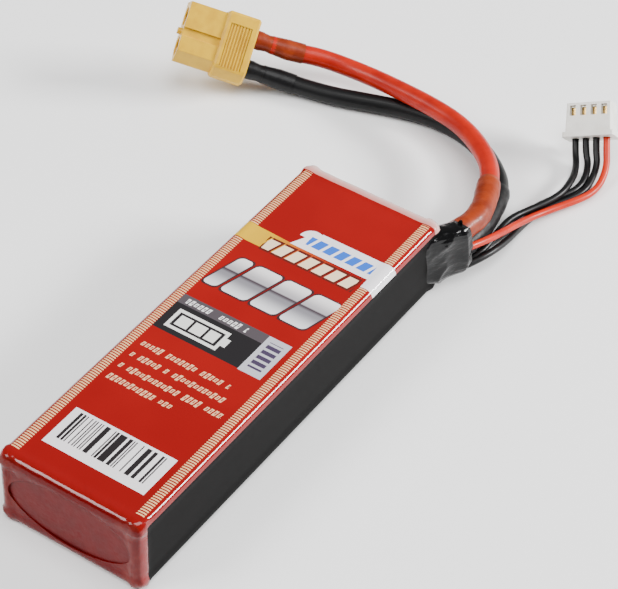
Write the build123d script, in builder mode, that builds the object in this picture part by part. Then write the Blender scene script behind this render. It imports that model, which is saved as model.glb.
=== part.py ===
from build123d import *
import math
import os

os.makedirs("parts", exist_ok=True)

# ---------------------------------------------------------------------------
# Lithium-polymer flight pack with a two-pole power plug and a balance plug.
# Millimetres, Z up.  X is the pack's width and Y its length: the leads leave
# at the far (+Y) end on the +X side.  The origin is the middle of the base.
# ---------------------------------------------------------------------------

# Pack envelope
PACK_WIDTH = 34.0
PACK_LENGTH = 106.0
PACK_HEIGHT = 18.0
WRAP_WALL = 0.25
WRAP_EDGE = 1.8
OPENING_WIDTH = 26.0
OPENING_HEIGHT = 11.0

# Sheets inside the wrap
SHEET = 0.2
CARD = 0.3
LABEL_FAR_SETBACK = 2.6
LABEL_NEAR_SETBACK = 2.0
LABEL_SKIRT = 1.3
BOTTOM_LABEL_MARGIN = 2.0
STRIP_MARGIN = 2.0
STRIP_FAR_SETBACK = 6.0
FIT = 0.05

# Cells
CELL_COUNT = 3
CELL_SIDE_GAP = 0.25
CELL_EDGE = 1.6
PAD = 0.25
PAD_MARGIN = 1.2
TERRACE_LENGTH = 3.0
TERRACE_MARGIN = 1.3
TERRACE_THICKNESS = 0.6
TAB_OFFSET = 8.0
TAB_WIDTH = 6.0
TAB_THICKNESS = 0.2
TAB_SPAN = 2.5

# Joining board at the far end
BOARD_SETBACK = 6.7
BOARD = 1.0
BOARD_MARGIN = 1.0
COPPER = 0.2
COPPER_INSET = 0.1
TAPE = 0.1
SLOT_GAP = 0.15

# End pads
NEAR_PAD = 1.1
FAR_PAD_SETBACK = 0.4
FAR_PAD_EDGE = 1.4
FAR_PAD_SIDE = 0.8
FAR_PAD_BOOT_GAP = 0.4

# Boot over the lead roots: setback from the far end, middle, width, base, top
BOOT_WALL = 0.6
BOOT_CORNER = 2.2
BOOT_CUT_GAP = 0.05
BOOT_SECTIONS = (
    (-5.8, -3.75, 6.9, 1.2, 16.2),
    (-2.5, -2.1, 7.4, 1.2, 16.2),
    (1.0, -0.4, 7.7, 1.2, 15.9),
    (4.5, 1.4, 8.2, 1.2, 15.4),
)

# Main leads and their sleeves
LEAD_DIAMETER = 4.4
SLEEVE_GAP = 0.05
ROOT_SLEEVE_DIAMETER = 5.4
PLUG_SLEEVE_DIAMETER = 5.0
PLUG_SLEEVE_CUP_DIAMETER = 4.7
PLUG_SLEEVE_NECK_DIAMETER = 4.1
PLUG_SLEEVE_NECK = 3.3
SOLDER_RIM = 0.1

# Balance wires
WIRE_DIAMETER = 1.6
WIRE_SOLDER_RIM = 0.05

# Power plug: its rear face's middle is placed from the lead corner
PLUG_PLACE = (-73.36, 33.48, 8.55)
PLUG_HEADING = -149.0
PLUG_PITCH = 19.1
PLUG_ROLL = -48.0
CONTACT_PITCH = 7.2
GRIP_WIDTH = 16.0
GRIP_THICKNESS = 8.1
GRIP_LENGTH = 8.0
NOSE_WIDTH = 14.4
NOSE_THICKNESS = 6.8
NOSE_LENGTH = 9.0
KEY_BEVEL = 2.6
PLUG_EDGE = 0.5
CONTACT_DIAMETER = 4.5
CONTACT_BORE = 3.5
CONTACT_BORE_DEPTH = 12.7
CONTACT_RECESS = 0.3
CONTACT_SHOULDER = 2.0
CONTACT_FIT = 0.03
CUP_DIAMETER = 3.6
CUP_TIP_DIAMETER = 3.2
CUP_REACH = 4.2
CUP_WELL = 3.0
CUP_WELL_DIAMETER = 2.4
RIB_PANEL_WIDTH = 10.5
RIB_PANEL_LENGTH = 5.2
RIB_PANEL_MIDDLE = 4.2
RIB_PANEL_DEPTH = 0.5
RIB_COUNT = 7
RIB = 0.34
RIB_HEIGHT = 0.35
GROOVE_WIDTH = 2.0
GROOVE_DEPTH = 0.6
PIP_DIAMETER = 1.6
PIP_REACH = 0.9
LEAD_LAST_RUN = 5.5

# Balance plug: its wire side's middle is placed from the lead corner
BALANCE_PLACE = (5.56, 56.93, 5.5)
BALANCE_HEADING = 122.5
BALANCE_PITCH = 38.2
BALANCE_ROLL = 154.5
BALANCE_POLES = 4
POLE_PITCH = 2.5
BALANCE_FLANGE_WIDTH = 12.3
BALANCE_FLANGE_THICKNESS = 5.75
BALANCE_FLANGE = 1.2
BALANCE_BODY_WIDTH = 11.0
BALANCE_BODY_THICKNESS = 5.0
BALANCE_HEIGHT = 8.0
BALANCE_TAPER = 0.2
CAVITY = 1.9
WINDOW_WIDTH = 1.4
WINDOW_HEIGHT = 2.4
WINDOW_DROP = 0.6
NOTCH_WIDTH = 0.9
NOTCH_DEPTH = 0.7
WIRE_HOLE = 1.9
BARREL_DIAMETER = 1.5
BARREL_LENGTH = 2.8
TERMINAL = 1.7
TERMINAL_LENGTH = 4.4
TERMINAL_WALL = 0.25
WIRE_LAST_RUN = 2.9


# ---------------------------------------------------------------------------
# Values that follow from the sizes above
# ---------------------------------------------------------------------------

half_width = PACK_WIDTH / 2
half_length = PACK_LENGTH / 2
inner_half_width = half_width - WRAP_WALL
inner_half_length = half_length - WRAP_WALL
inner_top = PACK_HEIGHT - WRAP_WALL
inner_edge = WRAP_EDGE - WRAP_WALL

cell_base = WRAP_WALL + SHEET + CARD + FIT
cell_room = inner_top - SHEET - FIT - cell_base
cell_thickness = (cell_room - (CELL_COUNT - 1) * PAD) / CELL_COUNT
cell_step = cell_thickness + PAD
cell_middles = [cell_base + cell_thickness / 2 + i * cell_step for i in range(CELL_COUNT)]
cell_width = 2 * (inner_half_width - SHEET - CELL_SIDE_GAP)

copper_face = half_length - BOARD_SETBACK
board_face = copper_face - COPPER
board_back = board_face - BOARD
cell_far = board_back - TAB_SPAN - TERRACE_LENGTH
near_pad_face = -inner_half_length + FIT
cell_near = near_pad_face + NEAR_PAD + FIT
cell_length = cell_far - cell_near
cell_mid_y = (cell_far + cell_near) / 2
terrace_far = cell_far + TERRACE_LENGTH


def from_corner(point):
    """Turn a point given from the lead corner into the pack's frame."""
    return Vector(half_width + point[0], half_length + point[1], point[2])


def lying_plane(place, heading, pitch, roll):
    """Plane with Z along the heading and pitch, and X rolled from the level."""
    turn = math.radians(heading)
    rise = math.radians(pitch)
    spin = math.radians(roll)
    flat = math.cos(rise)
    axis = Vector(flat * math.cos(turn), flat * math.sin(turn), math.sin(rise))
    level = Vector(-math.sin(turn), math.cos(turn), 0)
    across = axis.cross(level)
    side = level * math.cos(spin) + across * math.sin(spin)
    return Plane(origin=from_corner(place), x_dir=side, z_dir=axis)


plug_plane = lying_plane(PLUG_PLACE, PLUG_HEADING, PLUG_PITCH, PLUG_ROLL)
balance_plane = lying_plane(BALANCE_PLACE, BALANCE_HEADING, BALANCE_PITCH, BALANCE_ROLL)


def plug_point(x, z):
    """Point in the power plug's middle plane, Z along the mating direction."""
    return plug_plane.from_local_coords(Vector(x, 0, z))


def balance_point(pole, z):
    """Point on the axis of one pole of the balance plug."""
    x = (pole - (BALANCE_POLES - 1) / 2) * POLE_PITCH
    return balance_plane.from_local_coords(Vector(x, 0, z))


def lead_route(points, x):
    """Lead from the pack to the rear of the contact at x in the plug."""
    reach = CUP_REACH + LEAD_LAST_RUN
    ends = [plug_point(x, -reach), plug_point(x, -CUP_REACH)]
    return [from_corner(p) for p in points] + ends


def wire_route(points, pole):
    """Balance wire from the pack to one pole of the balance plug."""
    ends = [balance_point(pole, -WIRE_LAST_RUN), balance_point(pole, 0)]
    return [from_corner(p) for p in points] + ends


def arc_radii(points):
    """Radius at each inner point, as large as the two runs beside it allow."""
    radii = []
    for before, point, after in zip(points, points[1:], points[2:]):
        first = point - before
        second = after - point
        half_turn = math.radians(first.get_angle(second)) / 2
        radii.append(0.45 * min(first.length, second.length) / math.tan(half_turn))
    return radii


def stretch(points, first, last):
    """Points and radii from the middle of run first to the middle of run last."""
    start = (points[first] + points[first + 1]) / 2
    end = (points[last] + points[last + 1]) / 2
    return [start] + points[first + 1:last + 1] + [end], arc_radii(points)[first:last]


# Lead and wire routes, each point from the lead corner of the pack
positive_route = lead_route(
    (
        (-3.4, -5.65, 12.0), (-0.7, -0.4, 12.0), (1.6, 6.8, 12.0), (1.9, 13.6, 11.2),
        (-1.2, 22.0, 10.6), (-5.5, 30.4, 9.3), (-12.4, 37.0, 8.2), (-20.2, 41.4, 7.6),
        (-28.8, 43.5, 7.2), (-37.5, 44.8, 6.6), (-45.9, 46.1, 5.7), (-53.8, 46.1, 5.5),
        (-60.6, 44.2, 6.6),
    ),
    -CONTACT_PITCH / 2,
)
negative_route = lead_route(
    (
        (-3.4, -5.65, 6.5), (-0.7, -0.4, 6.5), (1.6, 6.8, 6.4), (1.3, 15.1, 5.6),
        (-0.6, 24.0, 4.7), (-3.4, 32.3, 3.6), (-9.7, 38.9, 2.7), (-17.9, 43.9, 2.4),
        (-27.4, 45.6, 2.25), (-36.8, 44.2, 2.2), (-45.1, 41.3, 2.25), (-52.5, 38.7, 2.2),
        (-59.2, 37.0, 2.4),
    ),
    CONTACT_PITCH / 2,
)
black_1_route = wire_route(
    (
        (-3.65, -6.0, 2.75), (-1.4, -1.0, 2.8), (2.0, 4.7, 2.85), (4.4, 11.2, 3.4),
        (3.9, 18.2, 3.7), (3.5, 24.7, 3.2), (5.2, 30.3, 2.6), (7.2, 35.2, 2.55),
        (8.3, 39.4, 2.7), (8.0, 43.2, 2.6), (7.0, 47.5, 2.0), (5.2, 51.5, 1.6),
    ),
    0,
)
black_2_route = wire_route(
    (
        (-5.6, -6.0, 3.1), (-3.3, -1.0, 3.0), (-0.5, 5.2, 3.0), (2.3, 11.8, 2.3),
        (3.7, 18.2, 1.5), (3.9, 24.6, 1.0), (4.2, 31.0, 0.85), (5.9, 36.7, 0.9),
        (8.3, 41.3, 0.85), (9.6, 45.0, 0.9), (9.1, 49.1, 1.0), (7.4, 53.1, 1.6),
    ),
    1,
)
black_3_route = wire_route(
    (
        (-1.8, -6.0, 3.7), (0.3, -1.0, 3.55), (3.7, 4.6, 3.75), (6.3, 11.0, 4.2),
        (6.6, 17.9, 2.9), (5.9, 24.6, 1.4), (6.0, 30.9, 0.85), (7.7, 36.3, 0.9),
        (10.0, 40.9, 0.9), (11.3, 45.0, 1.0), (10.6, 49.6, 1.15), (9.6, 53.3, 2.3),
    ),
    2,
)
red_wire_route = wire_route(
    (
        (-1.9, -6.0, 9.25), (0.3, -1.0, 9.25), (3.7, 4.4, 9.2), (5.4, 10.9, 7.8),
        (5.8, 17.9, 5.5), (6.1, 24.6, 3.4), (7.2, 30.5, 2.0), (9.3, 35.8, 1.5),
        (11.6, 40.4, 1.4), (13.1, 44.8, 1.2), (13.0, 49.4, 1.3), (12.0, 53.3, 3.0),
    ),
    3,
)
lead_roots = (positive_route, negative_route)
wire_roots = (black_1_route, black_2_route, black_3_route, red_wire_route)


# ---------------------------------------------------------------------------
# Cells, pads and tabs
# ---------------------------------------------------------------------------

def cell_body(middle):
    """Pouch cell with its sealed terrace at the far end, around one middle height."""
    with BuildPart() as cell:
        with Locations((0, cell_mid_y, middle)):
            Box(cell_width, cell_length, cell_thickness)
        fillet(cell.edges(), CELL_EDGE)
        with Locations((0, cell_far, middle)):
            Box(
                cell_width - 2 * TERRACE_MARGIN,
                2 * TERRACE_LENGTH,
                TERRACE_THICKNESS,
            )
    return cell.part


with BuildPart() as cell_1:
    add(cell_body(cell_middles[0]))
cell_1.part.label = "cell_1"

with BuildPart() as cell_2:
    add(cell_body(cell_middles[1]))
cell_2.part.label = "cell_2"

with BuildPart() as cell_3:
    add(cell_body(cell_middles[2]))
cell_3.part.label = "cell_3"


def pad_place(index):
    """Middle of the pad above the cell of this index."""
    return (0, cell_mid_y, cell_middles[index] + cell_step / 2)


with BuildPart() as cell_pad_1:
    with Locations(pad_place(0)):
        Box(cell_width - 2 * PAD_MARGIN, cell_length - 2 * PAD_MARGIN, PAD)
cell_pad_1.part.label = "cell_pad_1"

with BuildPart() as cell_pad_2:
    with Locations(pad_place(1)):
        Box(cell_width - 2 * PAD_MARGIN, cell_length - 2 * PAD_MARGIN, PAD)
cell_pad_2.part.label = "cell_pad_2"


def tab_places(first_side):
    """Tab middles, one a cell, on alternate sides from the bottom cell up."""
    y = (terrace_far + board_face) / 2
    places = []
    for index, middle in enumerate(cell_middles):
        side = first_side * (-1) ** index
        places.append((side * TAB_OFFSET, y, middle))
    return places


tab_length = board_face - terrace_far

with BuildPart() as positive_tabs:
    with Locations(*tab_places(-1)):
        Box(TAB_WIDTH, tab_length, TAB_THICKNESS)
positive_tabs.part.label = "positive_tabs"

with BuildPart() as negative_tabs:
    with Locations(*tab_places(1)):
        Box(TAB_WIDTH, tab_length, TAB_THICKNESS)
negative_tabs.part.label = "negative_tabs"


# ---------------------------------------------------------------------------
# Joining board, copper links, solder and tape
# ---------------------------------------------------------------------------

board_half_width = inner_half_width - BOARD_MARGIN / 2
board_base = WRAP_WALL + BOARD_MARGIN
board_top = inner_top - BOARD_MARGIN

with BuildPart() as tab_board:
    with Locations((0, board_face - BOARD / 2, (board_base + board_top) / 2)):
        Box(2 * board_half_width, BOARD, board_top - board_base)
    with Locations(*tab_places(1), *tab_places(-1)):
        Box(
            TAB_WIDTH + 2 * SLOT_GAP,
            4 * BOARD,
            TAB_THICKNESS + 2 * SLOT_GAP,
            mode=Mode.SUBTRACT,
        )
tab_board.part.label = "tab_board"

link_half = TAB_WIDTH / 2
lead_pad_left = half_width - 5.7
lead_pad_right = half_width - 1.1
low_middle, mid_middle, top_middle = cell_middles
copper_top = board_top - COPPER_INSET

# Each copper area is left, right, bottom, top on the board's outer face
copper_areas = (
    (-TAB_OFFSET - link_half, -TAB_OFFSET + link_half, low_middle - 1.0, mid_middle + 1.0),
    (TAB_OFFSET - link_half, TAB_OFFSET + link_half, mid_middle - 0.8, top_middle + 0.6),
    (TAB_OFFSET - link_half, TAB_OFFSET + link_half, low_middle - 0.8, low_middle + 3.6),
    (TAB_OFFSET, lead_pad_right, low_middle + 1.1, low_middle + 3.6),
    (lead_pad_left, lead_pad_right, low_middle + 1.1, low_middle + 5.0),
    (-TAB_OFFSET - link_half, -TAB_OFFSET + link_half, top_middle - 0.8, copper_top),
    (-TAB_OFFSET, lead_pad_right, copper_top - 0.7, copper_top),
    (lead_pad_left, lead_pad_right, low_middle + 6.9, copper_top),
)

with BuildPart() as series_links:
    for left, right, bottom, top in copper_areas:
        with Locations(((left + right) / 2, board_face + COPPER / 2, (bottom + top) / 2)):
            Box(right - left, COPPER, top - bottom)
    for route in wire_roots:
        with Locations((route[0].X, board_face + COPPER / 2, route[0].Z)):
            Box(WIRE_DIAMETER, COPPER, WIRE_DIAMETER)
series_links.part.label = "series_links"


def root_joint(route, diameter):
    """Solder between the board's copper and the tilted start of a lead."""
    start = route[0]
    back = start - route[1]
    with BuildPart() as joint:
        with BuildSketch(Plane(origin=start, z_dir=back)):
            Circle(diameter / 2)
        extrude(amount=2 * BOARD_SETBACK)
        with Locations((start.X, copper_face - PACK_LENGTH / 2, start.Z)):
            Box(PACK_LENGTH, PACK_LENGTH, PACK_LENGTH, mode=Mode.SUBTRACT)
    return joint.part


with BuildPart() as solder_joints:
    for route in lead_roots:
        add(root_joint(route, LEAD_DIAMETER + 2 * SOLDER_RIM))
    for route in wire_roots:
        add(root_joint(route, WIRE_DIAMETER + 2 * WIRE_SOLDER_RIM))
solder_joints.part.label = "solder_joints"

boot_foot = half_length + BOOT_SECTIONS[0][0]
boot_left = half_width + BOOT_SECTIONS[0][1] - BOOT_SECTIONS[0][2] / 2
tape_right = lead_pad_left - 1.3

with BuildPart() as board_tape:
    tape_middle = (tape_right - board_half_width) / 2
    with Locations((tape_middle, copper_face + TAPE / 2, (board_base + board_top) / 2)):
        Box(tape_right + board_half_width, TAPE, board_top - board_base)
board_tape.part.label = "board_tape"


# ---------------------------------------------------------------------------
# End pads, card, labels and side strips
# ---------------------------------------------------------------------------

with BuildPart() as near_end_pad:
    pad_middle = near_pad_face + NEAR_PAD / 2
    with Locations((0, pad_middle, PACK_HEIGHT / 2)):
        Box(
            PACK_WIDTH - 2 * (WRAP_EDGE + FIT),
            NEAR_PAD,
            PACK_HEIGHT - 2 * (WRAP_EDGE + FIT),
        )
    fillet(near_end_pad.edges().filter_by(Axis.Y), WRAP_EDGE)
near_end_pad.part.label = "near_end_pad"

far_pad_left = -inner_half_width + FAR_PAD_SIDE
far_pad_right = boot_left - FAR_PAD_BOOT_GAP
far_pad_near = copper_face + TAPE + FIT
far_pad_far = half_length - FAR_PAD_SETBACK

with BuildPart() as far_end_pad:
    middle = (
        (far_pad_left + far_pad_right) / 2,
        (far_pad_near + far_pad_far) / 2,
        PACK_HEIGHT / 2,
    )
    with Locations(middle):
        Box(
            far_pad_right - far_pad_left,
            far_pad_far - far_pad_near,
            PACK_HEIGHT - 2 * (WRAP_WALL + FAR_PAD_SIDE),
        )
    fillet(far_end_pad.faces().sort_by(Axis.Y)[-1].edges(), FAR_PAD_EDGE)
far_end_pad.part.label = "far_end_pad"

flat_half_width = half_width - BOTTOM_LABEL_MARGIN
flat_half_length = half_length - BOTTOM_LABEL_MARGIN

with BuildPart() as bottom_label:
    with Locations((0, 0, WRAP_WALL + SHEET / 2)):
        Box(2 * flat_half_width, 2 * flat_half_length, SHEET)
bottom_label.part.label = "bottom_label"

with BuildPart() as stiffening_card:
    card_length = cell_far - cell_near - 2 * PAD_MARGIN
    with Locations((0, cell_mid_y, WRAP_WALL + SHEET + CARD / 2)):
        Box(2 * flat_half_width, card_length, CARD)
stiffening_card.part.label = "stiffening_card"

label_far = half_length - LABEL_FAR_SETBACK
label_near = -half_length + LABEL_NEAR_SETBACK
label_mid_y = (label_far + label_near) / 2
label_length = label_far - label_near


def edge_band(half, top, edge, length, mode):
    """Long block under the wrap whose two upper long edges are rounded."""
    with BuildSketch(Plane.XZ.offset(-label_mid_y - length / 2), mode=Mode.PRIVATE) as band:
        with Locations((0, top / 2)):
            RectangleRounded(2 * half, top, edge)
    extrude(band.sketch, amount=length, mode=mode)


with BuildPart() as top_label:
    edge_band(inner_half_width, inner_top, inner_edge, label_length, Mode.ADD)
    edge_band(
        inner_half_width - SHEET,
        inner_top - SHEET,
        inner_edge - SHEET,
        2 * label_length,
        Mode.SUBTRACT,
    )
    with Locations((0, label_mid_y, inner_top - LABEL_SKIRT - PACK_HEIGHT / 2)):
        Box(2 * PACK_WIDTH, 2 * PACK_LENGTH, PACK_HEIGHT, mode=Mode.SUBTRACT)
top_label.part.label = "top_label"

strip_base = STRIP_MARGIN
strip_top = PACK_HEIGHT - STRIP_MARGIN
strip_x = inner_half_width - SHEET / 2
strip_far = half_length - STRIP_FAR_SETBACK

with BuildPart() as side_strip_left:
    with Locations((-strip_x, label_mid_y, (strip_base + strip_top) / 2)):
        Box(SHEET, label_length, strip_top - strip_base)
side_strip_left.part.label = "side_strip_left"

with BuildPart() as side_strip_right:
    strip_mid_y = (label_near + strip_far) / 2
    with Locations((strip_x, strip_mid_y, (strip_base + strip_top) / 2)):
        Box(SHEET, strip_far - label_near, strip_top - strip_base)
side_strip_right.part.label = "side_strip_right"


# ---------------------------------------------------------------------------
# Lead boot and heat-shrunk wrap
# ---------------------------------------------------------------------------

def boot_envelope(grow):
    """Solid through the boot's sections, grown by this much all round."""
    with BuildPart() as envelope:
        for setback, middle, width, base, top in BOOT_SECTIONS:
            place = from_corner((middle, setback, (base + top) / 2))
            with BuildSketch(Plane(origin=place, x_dir=(1, 0, 0), z_dir=(0, 1, 0))):
                RectangleRounded(
                    width + 2 * grow,
                    top - base + 2 * grow,
                    BOOT_CORNER + grow,
                )
        loft()
    return envelope.part


with BuildPart() as lead_boot:
    add(boot_envelope(0))
    add(boot_envelope(-BOOT_WALL), mode=Mode.SUBTRACT)
lead_boot.part.label = "lead_boot"


def rounded_block(inset):
    """The pack's rounded outer block, inset all round."""
    with BuildPart() as block:
        with Locations((0, 0, PACK_HEIGHT / 2)):
            Box(
                PACK_WIDTH - 2 * inset,
                PACK_LENGTH - 2 * inset,
                PACK_HEIGHT - 2 * inset,
            )
        fillet(block.edges(), WRAP_EDGE - inset)
    return block.part


with BuildPart() as shrink_wrap:
    add(rounded_block(0))
    add(rounded_block(WRAP_WALL), mode=Mode.SUBTRACT)
    with BuildSketch(Plane.XZ.offset(half_length - 3 * WRAP_WALL)):
        with Locations((0, PACK_HEIGHT / 2)):
            SlotOverall(OPENING_WIDTH, OPENING_HEIGHT)
    extrude(amount=6 * WRAP_WALL, mode=Mode.SUBTRACT)
    add(boot_envelope(BOOT_CUT_GAP), mode=Mode.SUBTRACT)
shrink_wrap.part.label = "shrink_wrap"


# ---------------------------------------------------------------------------
# Leads, balance wires and their sleeves
# ---------------------------------------------------------------------------

def swept(points, radii, outer, inner):
    """Tube along straight runs joined by tangent arcs; inner 0 makes it solid."""
    with BuildPart() as tube:
        with BuildLine() as path:
            FilletPolyline(*points, radius=radii)
        spine = path.wire()
        with BuildSketch(Plane(origin=spine @ 0, z_dir=spine % 0)) as section:
            Circle(outer / 2)
            if inner > 0:
                Circle(inner / 2, mode=Mode.SUBTRACT)
        sweep(sections=section.sketch, path=spine)
    expected = section.sketch.area * spine.length
    print(f"   volume {tube.part.volume:.2f}, section x length {expected:.2f}")
    return tube.part


def cord(name, route, diameter):
    """Solid cord along a whole route, with its radii printed."""
    radii = arc_radii(route)
    listed = ", ".join(f"{r:.1f}" for r in radii)
    print(f"{name}: diameter {diameter}, radii {listed}")
    return swept(route, radii, diameter, 0)


with BuildPart() as positive_lead:
    add(cord("positive_lead", positive_route, LEAD_DIAMETER))
positive_lead.part.label = "positive_lead"

with BuildPart() as negative_lead:
    add(cord("negative_lead", negative_route, LEAD_DIAMETER))
negative_lead.part.label = "negative_lead"

with BuildPart() as balance_wire_black_1:
    add(cord("balance_wire_black_1", black_1_route, WIRE_DIAMETER))
balance_wire_black_1.part.label = "balance_wire_black_1"

with BuildPart() as balance_wire_black_2:
    add(cord("balance_wire_black_2", black_2_route, WIRE_DIAMETER))
balance_wire_black_2.part.label = "balance_wire_black_2"

with BuildPart() as balance_wire_black_3:
    add(cord("balance_wire_black_3", black_3_route, WIRE_DIAMETER))
balance_wire_black_3.part.label = "balance_wire_black_3"

with BuildPart() as balance_wire_red:
    add(cord("balance_wire_red", red_wire_route, WIRE_DIAMETER))
balance_wire_red.part.label = "balance_wire_red"

sleeve_inner = LEAD_DIAMETER + 2 * SLEEVE_GAP

with BuildPart() as positive_root_sleeve:
    print("positive_root_sleeve")
    add(swept(*stretch(positive_route, 1, 4), ROOT_SLEEVE_DIAMETER, sleeve_inner))
positive_root_sleeve.part.label = "positive_root_sleeve"

with BuildPart() as negative_root_sleeve:
    print("negative_root_sleeve")
    add(swept(*stretch(negative_route, 1, 4), ROOT_SLEEVE_DIAMETER, sleeve_inner))
negative_root_sleeve.part.label = "negative_root_sleeve"


def plug_sleeve(route, x):
    """Sleeve over a contact's cup, its neck, and the end of the lead."""
    last = len(route) - 2
    points, radii = stretch(route, last - 1, last)
    points[-1] = route[-1]
    axis_plane = Plane(origin=plug_point(x, 0), x_dir=plug_plane.x_dir, z_dir=-plug_plane.z_dir)
    outer = (
        (PLUG_SLEEVE_CUP_DIAMETER / 2, FIT),
        (PLUG_SLEEVE_CUP_DIAMETER / 2, 1.6),
        (PLUG_SLEEVE_NECK_DIAMETER / 2, PLUG_SLEEVE_NECK),
        (PLUG_SLEEVE_DIAMETER / 2, CUP_REACH),
    )
    inner = (
        (sleeve_inner / 2, CUP_REACH),
        (CUP_TIP_DIAMETER / 2 + SLEEVE_GAP, CUP_REACH),
        (CUP_DIAMETER / 2 + SLEEVE_GAP, FIT),
    )
    with BuildPart() as sleeve:
        with BuildSketch(Plane.XZ) as profile:
            with BuildLine():
                Polyline(*outer, *inner, close=True)
            make_face()
        revolve(axis=Axis.Z)
    with BuildPart() as whole:
        add(swept(points, radii, PLUG_SLEEVE_DIAMETER, sleeve_inner))
        add(axis_plane.from_local_coords(sleeve.part))
    return whole.part


with BuildPart() as positive_plug_sleeve:
    print("positive_plug_sleeve")
    add(plug_sleeve(positive_route, -CONTACT_PITCH / 2))
positive_plug_sleeve.part.label = "positive_plug_sleeve"

with BuildPart() as negative_plug_sleeve:
    print("negative_plug_sleeve")
    add(plug_sleeve(negative_route, CONTACT_PITCH / 2))
negative_plug_sleeve.part.label = "negative_plug_sleeve"


# ---------------------------------------------------------------------------
# Power plug: housing and two socket contacts
# ---------------------------------------------------------------------------

plug_length = GRIP_LENGTH + NOSE_LENGTH
contact_places = [(-CONTACT_PITCH / 2, 0), (CONTACT_PITCH / 2, 0)]
panel_base = RIB_PANEL_MIDDLE - RIB_PANEL_LENGTH / 2
rib_step = RIB_PANEL_LENGTH / RIB_COUNT
rib_middles = [panel_base + (i + 0.5) * rib_step for i in range(RIB_COUNT)]
panel_floor = GRIP_THICKNESS / 2 - RIB_PANEL_DEPTH


def keyed_outline(width, thickness, bevel):
    """Rectangle with both corners of its negative side cut off."""
    side = width / 2
    half = thickness / 2
    Polyline(
        (-side, -half),
        (side - bevel, -half),
        (side, -half + bevel),
        (side, half - bevel),
        (side - bevel, half),
        (-side, half),
        close=True,
    )


with BuildPart() as power_plug_housing:
    with BuildSketch(plug_plane):
        with BuildLine():
            keyed_outline(GRIP_WIDTH, GRIP_THICKNESS, KEY_BEVEL)
        make_face()
    extrude(amount=GRIP_LENGTH)
    chamfer(power_plug_housing.edges(), PLUG_EDGE)
    with BuildSketch(plug_plane.offset(GRIP_LENGTH / 2)):
        with BuildLine():
            keyed_outline(NOSE_WIDTH, NOSE_THICKNESS, KEY_BEVEL)
        make_face()
    extrude(amount=NOSE_LENGTH + GRIP_LENGTH / 2)
    with BuildSketch(plug_plane.offset(CONTACT_SHOULDER - CONTACT_FIT)):
        with Locations(*contact_places):
            Circle(CONTACT_DIAMETER / 2 + CONTACT_FIT)
    extrude(amount=plug_length, mode=Mode.SUBTRACT)
    with BuildSketch(plug_plane):
        with Locations(*contact_places):
            Circle(CUP_DIAMETER / 2 + CONTACT_FIT)
    extrude(amount=CONTACT_SHOULDER, mode=Mode.SUBTRACT)
    for side in (-1, 1):
        with Locations(plug_plane.location):
            with Locations((0, side * (panel_floor + RIB_PANEL_DEPTH), RIB_PANEL_MIDDLE)):
                Box(
                    RIB_PANEL_WIDTH,
                    2 * RIB_PANEL_DEPTH,
                    RIB_PANEL_LENGTH,
                    mode=Mode.SUBTRACT,
                )
            for height in rib_middles:
                with Locations((0, side * panel_floor, height)):
                    Box(RIB_PANEL_WIDTH, 2 * RIB_HEIGHT, RIB)
            groove_y = side * NOSE_THICKNESS / 2
            with Locations((0, groove_y, GRIP_LENGTH + NOSE_LENGTH / 2)):
                Box(GROOVE_WIDTH, 2 * GROOVE_DEPTH, NOSE_LENGTH, mode=Mode.SUBTRACT)
    with BuildSketch(plug_plane.offset(plug_length)):
        Circle(PIP_DIAMETER / 2)
    extrude(amount=PIP_REACH)
power_plug_housing.part.label = "power_plug_housing"


def socket_contact(x):
    """Turned contact: bored socket in front, a shoulder and a solder cup behind."""
    top = plug_length - CONTACT_RECESS
    outline = (
        (0, -CUP_REACH + CUP_WELL),
        (CUP_WELL_DIAMETER / 2, -CUP_REACH + CUP_WELL),
        (CUP_WELL_DIAMETER / 2, -CUP_REACH),
        (CUP_TIP_DIAMETER / 2, -CUP_REACH),
        (CUP_DIAMETER / 2, 0),
        (CUP_DIAMETER / 2, CONTACT_SHOULDER),
        (CONTACT_DIAMETER / 2, CONTACT_SHOULDER),
        (CONTACT_DIAMETER / 2, top),
        (CONTACT_BORE / 2, top),
        (CONTACT_BORE / 2, top - CONTACT_BORE_DEPTH),
        (0, top - CONTACT_BORE_DEPTH),
    )
    with BuildPart() as turned:
        with BuildSketch(Plane.XZ):
            with BuildLine():
                Polyline(*outline, close=True)
            make_face()
        revolve(axis=Axis.Z)
    place = Plane(origin=plug_point(x, 0), x_dir=plug_plane.x_dir, z_dir=plug_plane.z_dir)
    return place.from_local_coords(turned.part)


with BuildPart() as positive_socket:
    add(socket_contact(-CONTACT_PITCH / 2))
positive_socket.part.label = "positive_socket"

with BuildPart() as negative_socket:
    add(socket_contact(CONTACT_PITCH / 2))
negative_socket.part.label = "negative_socket"


# ---------------------------------------------------------------------------
# Balance plug: housing and crimped terminals
# ---------------------------------------------------------------------------

pole_offsets = [(i - (BALANCE_POLES - 1) / 2) * POLE_PITCH for i in range(BALANCE_POLES)]
pole_places = [(x, 0) for x in pole_offsets]
body_half = BALANCE_BODY_THICKNESS / 2
window_middle = BALANCE_HEIGHT - WINDOW_DROP - WINDOW_HEIGHT / 2

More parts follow.
